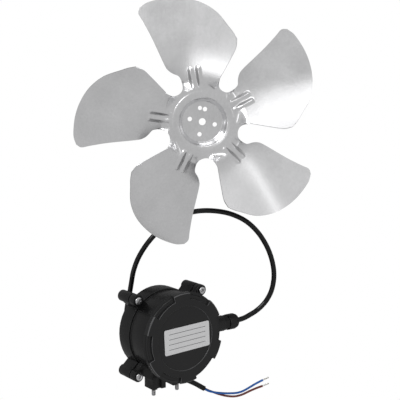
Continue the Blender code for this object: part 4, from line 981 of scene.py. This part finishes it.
class FAN_OT_screws(bpy.types.Operator):
    """Turns the four housing screws: a pan head with a cross drive over a threaded shank"""
    bl_idname = "fan.screws"
    bl_label = "Housing screws"

    def execute(self, context):
        steps = 96
        crown = np.linspace(0, 1, 26)[:-1]
        brim = (HEAD_RADIUS * CROWN_SHARE, HEAD_HEIGHT - CROWN_DROP)
        dome = [(brim[0] * s, HEAD_HEIGHT - CROWN_DROP * s ** 2) for s in crown]
        rim = rounded([brim, (HEAD_RADIUS, HEAD_HEIGHT - 0.8), (HEAD_RADIUS, 0.0), (SHANK_RADIUS, 0.0),
                       (SHANK_RADIUS, -2.0)], 0.25, 4)
        shank = [(SHANK_RADIUS, -z) for z in np.linspace(2.2, SHANK_LENGTH - 1.0, 90)]
        tip = [(1.4, -SHANK_LENGTH), (0.0, -SHANK_LENGTH)]
        grid = revolved(np.concatenate([dome, rim, shank, tip]), full_circle(steps))
        radius = np.hypot(grid[..., 0], grid[..., 1])
        head = grid[:len(crown)]
        head[..., 2] -= cross_recess(head[..., 0], head[..., 1])
        threaded = (radius > SHANK_RADIUS - 0.01) & (grid[..., 2] < -2.1)
        cut = SCREW_CUT * thread(grid[..., 2], SCREW_PITCH, steps) * threaded
        grid = drawn_in(grid, cut)
        for number in range(4):
            ear = [*polar(EAR_CIRCLE, 45.0 + 90.0 * number), EAR_TOP]
            motor_piece(f"pan_head_screw_{number + 1}", turned(grid, 0.5 + number) + ear,
                        "steel", "bright_steel", f"housing_screw_{number + 1}")
        return {"FINISHED"}


# The foot studs, in millimetres: their ends along the axis, and where each stands across and up
STUD_RADIUS = 2.0
STUD_ENDS = (50.0, 64.0)
STUD_PLACES = ((-14.0, 18.25), (14.0, 18.25))


class FAN_OT_studs(bpy.types.Operator):
    """Rolls the thread on the two foot studs"""
    bl_idname = "fan.studs"
    bl_label = "Foot studs"

    def execute(self, context):
        pitch = context.scene.fan_motor_sizes.thread_pitch / MM
        low, high = STUD_ENDS
        runs = np.concatenate([[low], np.linspace(low, high - 0.5, 300), [high, high]])
        limit = np.concatenate([[0.0], np.full(300, STUD_RADIUS), [STUD_RADIUS - 0.5, 0.0]])
        grid = revolved(np.column_stack([limit, runs]), full_circle(48))
        shank = (limit > STUD_RADIUS - 0.01)[:, None]
        cut = STUD_CUT * smoothstep(thread(grid[..., 2], pitch, 48)) * shank
        grid = drawn_in(grid, cut)
        for number, (x, height) in enumerate(STUD_PLACES, 1):
            place = along_axis((x, 0, height), (1, 0, 0), (0, 0, 1), (0, -1, 0))
            motor_piece(f"threaded_stud_{number}", place(grid), "steel", "bright_steel",
                        f"foot_stud_{number}")
        return {"FINISHED"}


# The gland along its own axis, in millimetres: radius and distance from the motor's axis
GLAND_BORE = 2.9
GLAND_PROFILE = (
    (GLAND_BORE, 48.5), (4.7, 48.5), (5.0, 48.8), (5.0, 58.8), (7.1, 58.8), (7.6, 59.0), (8.0, 59.5),
    (8.1, 60.2), (8.1, 62.9), (8.0, 63.5), (7.6, 64.0), (7.1, 64.2), (6.0, 64.2), (6.0, 68.4),
    (5.7, 68.7), (GLAND_BORE, 68.7),
)
HEX_FLATS = 14.0
NUT_BORE = 3.1
NUT_SHELL = (
    (8.0, 71.5), (8.0, 64.5), (6.3, 64.5), (6.3, 72.3), (NUT_BORE, 72.3), (NUT_BORE, 76.9), (4.0, 76.9),
)
GRIP_DEPTH = 0.75
DOME_CORNER = (4.6, 71.9)
DOME_WIDTH = 3.4
DOME_HEIGHT = 5.0


class FAN_OT_gland(bpy.types.Operator):
    """Moulds the cord gland: a hexagon body, and a ribbed domed nut over its collar"""
    bl_idname = "fan.gland"
    bl_label = "Gland"

    def execute(self, context):
        angle = full_circle(120)
        place = along_axis((0, *GLAND_AXIS), (0, 1, 0), (0, 0, 1), (1, 0, 0))
        profile = np.array(GLAND_PROFILE)
        flats = HEX_FLATS / 2 / np.cos(angle % (math.pi / 3) - math.pi / 6)
        limit = np.minimum(profile[:, :1], flats)
        body = ring_grid(limit, profile[:, 1:], angle)
        motor_piece("hexagon_gland", place(body), "gland", "black_plastic", "gland_body", (True, True))

        over = np.linspace(math.pi / 2, 0, 9)
        arc = np.column_stack([DOME_WIDTH * np.cos(over), DOME_HEIGHT * np.sin(over)])
        grid = revolved(np.concatenate([arc + DOME_CORNER, rounded(NUT_SHELL, 0.3, 4)]), angle)
        valley = (0.5 + 0.5 * np.cos(context.scene.fan_motor_sizes.nut_grips * angle)) ** 3
        radius = np.hypot(grid[..., 0], grid[..., 1])
        outside = smoothstep((radius - 6.4) / 1.2) * smoothstep((grid[..., 2] - 65.6) / 0.6)
        nut = place(drawn_in(grid, GRIP_DEPTH * valley * outside))
        motor_piece("ribbed_nut", nut, "gland", "black_plastic", "gland_nut", (True, True))
        return {"FINISHED"}


# Soft boxes round the object: name, azimuth, zenith, size in metres, and radiance
LAMP_DISTANCE = 4.0
LAMPS = (
    ("left_box", 178, 57, (0.7, 0.9), 1.5),
    ("top_box", 93, 64, (2.4, 0.8), 1.7),
    ("right_box", 17, 60, (1.2, 0.24), 1.8),
    ("key_box", 136, 58, (1.4, 1.8), 6.0),
)
CAMERA_PLACE = (-95.0, 120.0, 900.0)
BENCH_HALF = 3.0
BENCH_DROP = 0.02


class FAN_OT_stage(bpy.types.Operator):
    """Sets the floor, the soft lamps, the sky and the camera"""
    bl_idname = "fan.stage"
    bl_label = "Stage"

    def execute(self, context):
        self.floor()
        self.sky(context.scene)
        self.lamps()
        self.camera(context.scene)
        context.scene.view_settings.view_transform = "Standard"
        return {"FINISHED"}

    @staticmethod
    def floor():
        sides = (-BENCH_HALF, BENCH_HALF)
        corners = np.array([[(x, y, -BENCH_DROP * MM) for x in sides] for y in sides])
        surface("bench_floor", [corners], "bench", closed=(False, False))

    @staticmethod
    def sky(scene):
        scene.world = bpy.data.worlds.new("soft_sky")
        scene.world.use_nodes = True
        tree = Tree(scene.world.node_tree)
        plain = tree.nodes["Background"]
        tree.feed(plain.inputs["Color"], (1.0, 1.0, 1.0))
        tree.feed(plain.inputs["Strength"], scene.fan_stage_sizes.world)
        backdrop = tree.node("ShaderNodeBackground", {"Strength": 1.0})[0]
        tree.for_camera(backdrop, plain, tree.nodes["World Output"])

    @staticmethod
    def lamps():
        for name, azimuth, zenith, (wide, deep), radiance in LAMPS:
            lamp = settle(bpy.data.lights.new(name, "AREA"), shape="RECTANGLE", size=wide, size_y=deep,
                          energy=radiance * math.pi * wide * deep)
            holder = put(name, lamp)
            a, z = azimuth * DEGREE, zenith * DEGREE
            away = Vector((math.sin(z) * math.cos(a), math.sin(z) * math.sin(a), math.cos(z)))
            holder.location = away * LAMP_DISTANCE
            holder.rotation_euler = away.to_track_quat("Z", "Y").to_euler()

    @staticmethod
    def camera(scene):
        """Looks at the middle of the bench with the photograph's up direction."""
        data = settle(bpy.data.cameras.new("photo_camera"), lens=scene.fan_stage_sizes.lens,
                      sensor_width=36.0, clip_start=0.05, clip_end=20.0)
        shift = Vector(ROUTE_SHIFT)
        place = Vector(CAMERA_PLACE) * MM + shift
        back = (place - shift).normalized()
        right = Vector((0, 1, 0)).cross(back).normalized()
        turned_to = Matrix((right, back.cross(right), back)).transposed()
        scene.camera = put("photo_camera", data)
        scene.camera.matrix_world = Matrix.Translation(place) @ turned_to.to_4x4()


NODE_FINISHES = {
    "housing": ("front_shell", "rear_shell"),
    "rubber": ("shell_gasket", "cover_gasket", "shaft_seal", "gland_seal"),
    "jacket": ("cord_inner_end",),
    "blue": ("inner_lead_blue",),
    "brown": ("inner_lead_brown",),
    "steel": ("board_screw", "shaft", "fan_hub", "preload_spring",
              "front_bearing_inner", "front_bearing_outer", "rear_bearing_inner", "rear_bearing_outer"),
    "brass": ("foot_insert",),
    "laminations": ("stator_core", "rotor_core"),
    "copper": ("winding", "line_choke"),
    "insulator": ("front_insulator", "rear_insulator", "terminal_block", "front_bearing_cage",
                  "rear_bearing_cage"),
    "magnet": ("rotor_magnet",),
    "board": ("circuit_board",),
    "component": ("smoothing_capacitor", "power_module"),
}
MOULDED_RADIUS = 0.6


class FAN_OT_frame_finishes(bpy.types.Operator):
    """Gives every carried-over solid its material"""
    bl_idname = "fan.frame_finishes"
    bl_label = "Frame finishes"

    def execute(self, context):
        for finish, prefixes in NODE_FINISHES.items():
            for name, node in frame["nodes"].items():
                if name.startswith(prefixes):
                    node.data.materials.clear()
                    node.data.materials.append(material(finish))
        for name in ("front_shell", "rear_shell"):
            self.round_edges(frame["nodes"][name])
        return {"FINISHED"}

    @staticmethod
    def round_edges(node):
        """Joins the solid's flat faces and gives its sharp edges a small moulded radius, coloured lighter as
        a painted highlight.
        """
        # Painted highlight: the bevelled edges below take this lighter black, standing in for light caught on
        # them
        node.data.materials.append(material("edge"))
        node.data.shade_smooth()
        modify(node, "weld", "WELD", merge_threshold=0.001 * MM)
        modify(node, "flat faces", "DECIMATE", decimate_type="DISSOLVE", angle_limit=0.5 * DEGREE)
        modify(node, "moulded radius", "BEVEL", width=MOULDED_RADIUS * MM, segments=3, limit_method="ANGLE",
               angle_limit=42 * DEGREE, use_clamp_overlap=True, miter_outer="MITER_ARC", material=1)
        modify(node, "sharp edges", "EDGE_SPLIT", split_angle=35 * DEGREE)


class FAN_PT_panel(bpy.types.Panel):
    """Buttons that build the fan set piece by piece"""
    bl_label = "Fan set"
    bl_idname = "FAN_PT_panel"
    bl_space_type = "VIEW_3D"
    bl_region_type = "UI"
    bl_category = "Fan set"

    def draw(self, context):
        for operator in OPERATORS:
            self.layout.operator(operator.bl_idname)
        for group in SIZE_GROUPS:
            sizes = getattr(context.scene, group)
            for name in sizes.bl_rna.properties.keys():
                if name not in ("rna_type", "name"):
                    self.layout.prop(sizes, name)


SIZE_GROUPS = {
    "fan_impeller_sizes": FanImpellerSizes,
    "fan_motor_sizes": FanMotorSizes,
    "fan_cord_sizes": FanCordSizes,
    "fan_stage_sizes": FanStageSizes,
}
OPERATORS = (FAN_OT_stage, FAN_OT_frame_finishes, FAN_OT_cord, FAN_OT_impeller, FAN_OT_cover,
             FAN_OT_nameplate, FAN_OT_screws, FAN_OT_studs, FAN_OT_gland)
CLASSES = (*SIZE_GROUPS.values(), *OPERATORS, FAN_PT_panel)


def register():
    for kind in CLASSES:
        bpy.utils.register_class(kind)
    for name, kind in SIZE_GROUPS.items():
        setattr(bpy.types.Scene, name, bpy.props.PointerProperty(type=kind))


def unregister():
    for name in SIZE_GROUPS:
        delattr(bpy.types.Scene, name)
    for kind in reversed(CLASSES):
        bpy.utils.unregister_class(kind)


def main():
    register()
    for kind in OPERATORS:
        getattr(bpy.ops.fan, kind.bl_idname.partition(".")[2])()


if __name__ == "__main__":
    main()
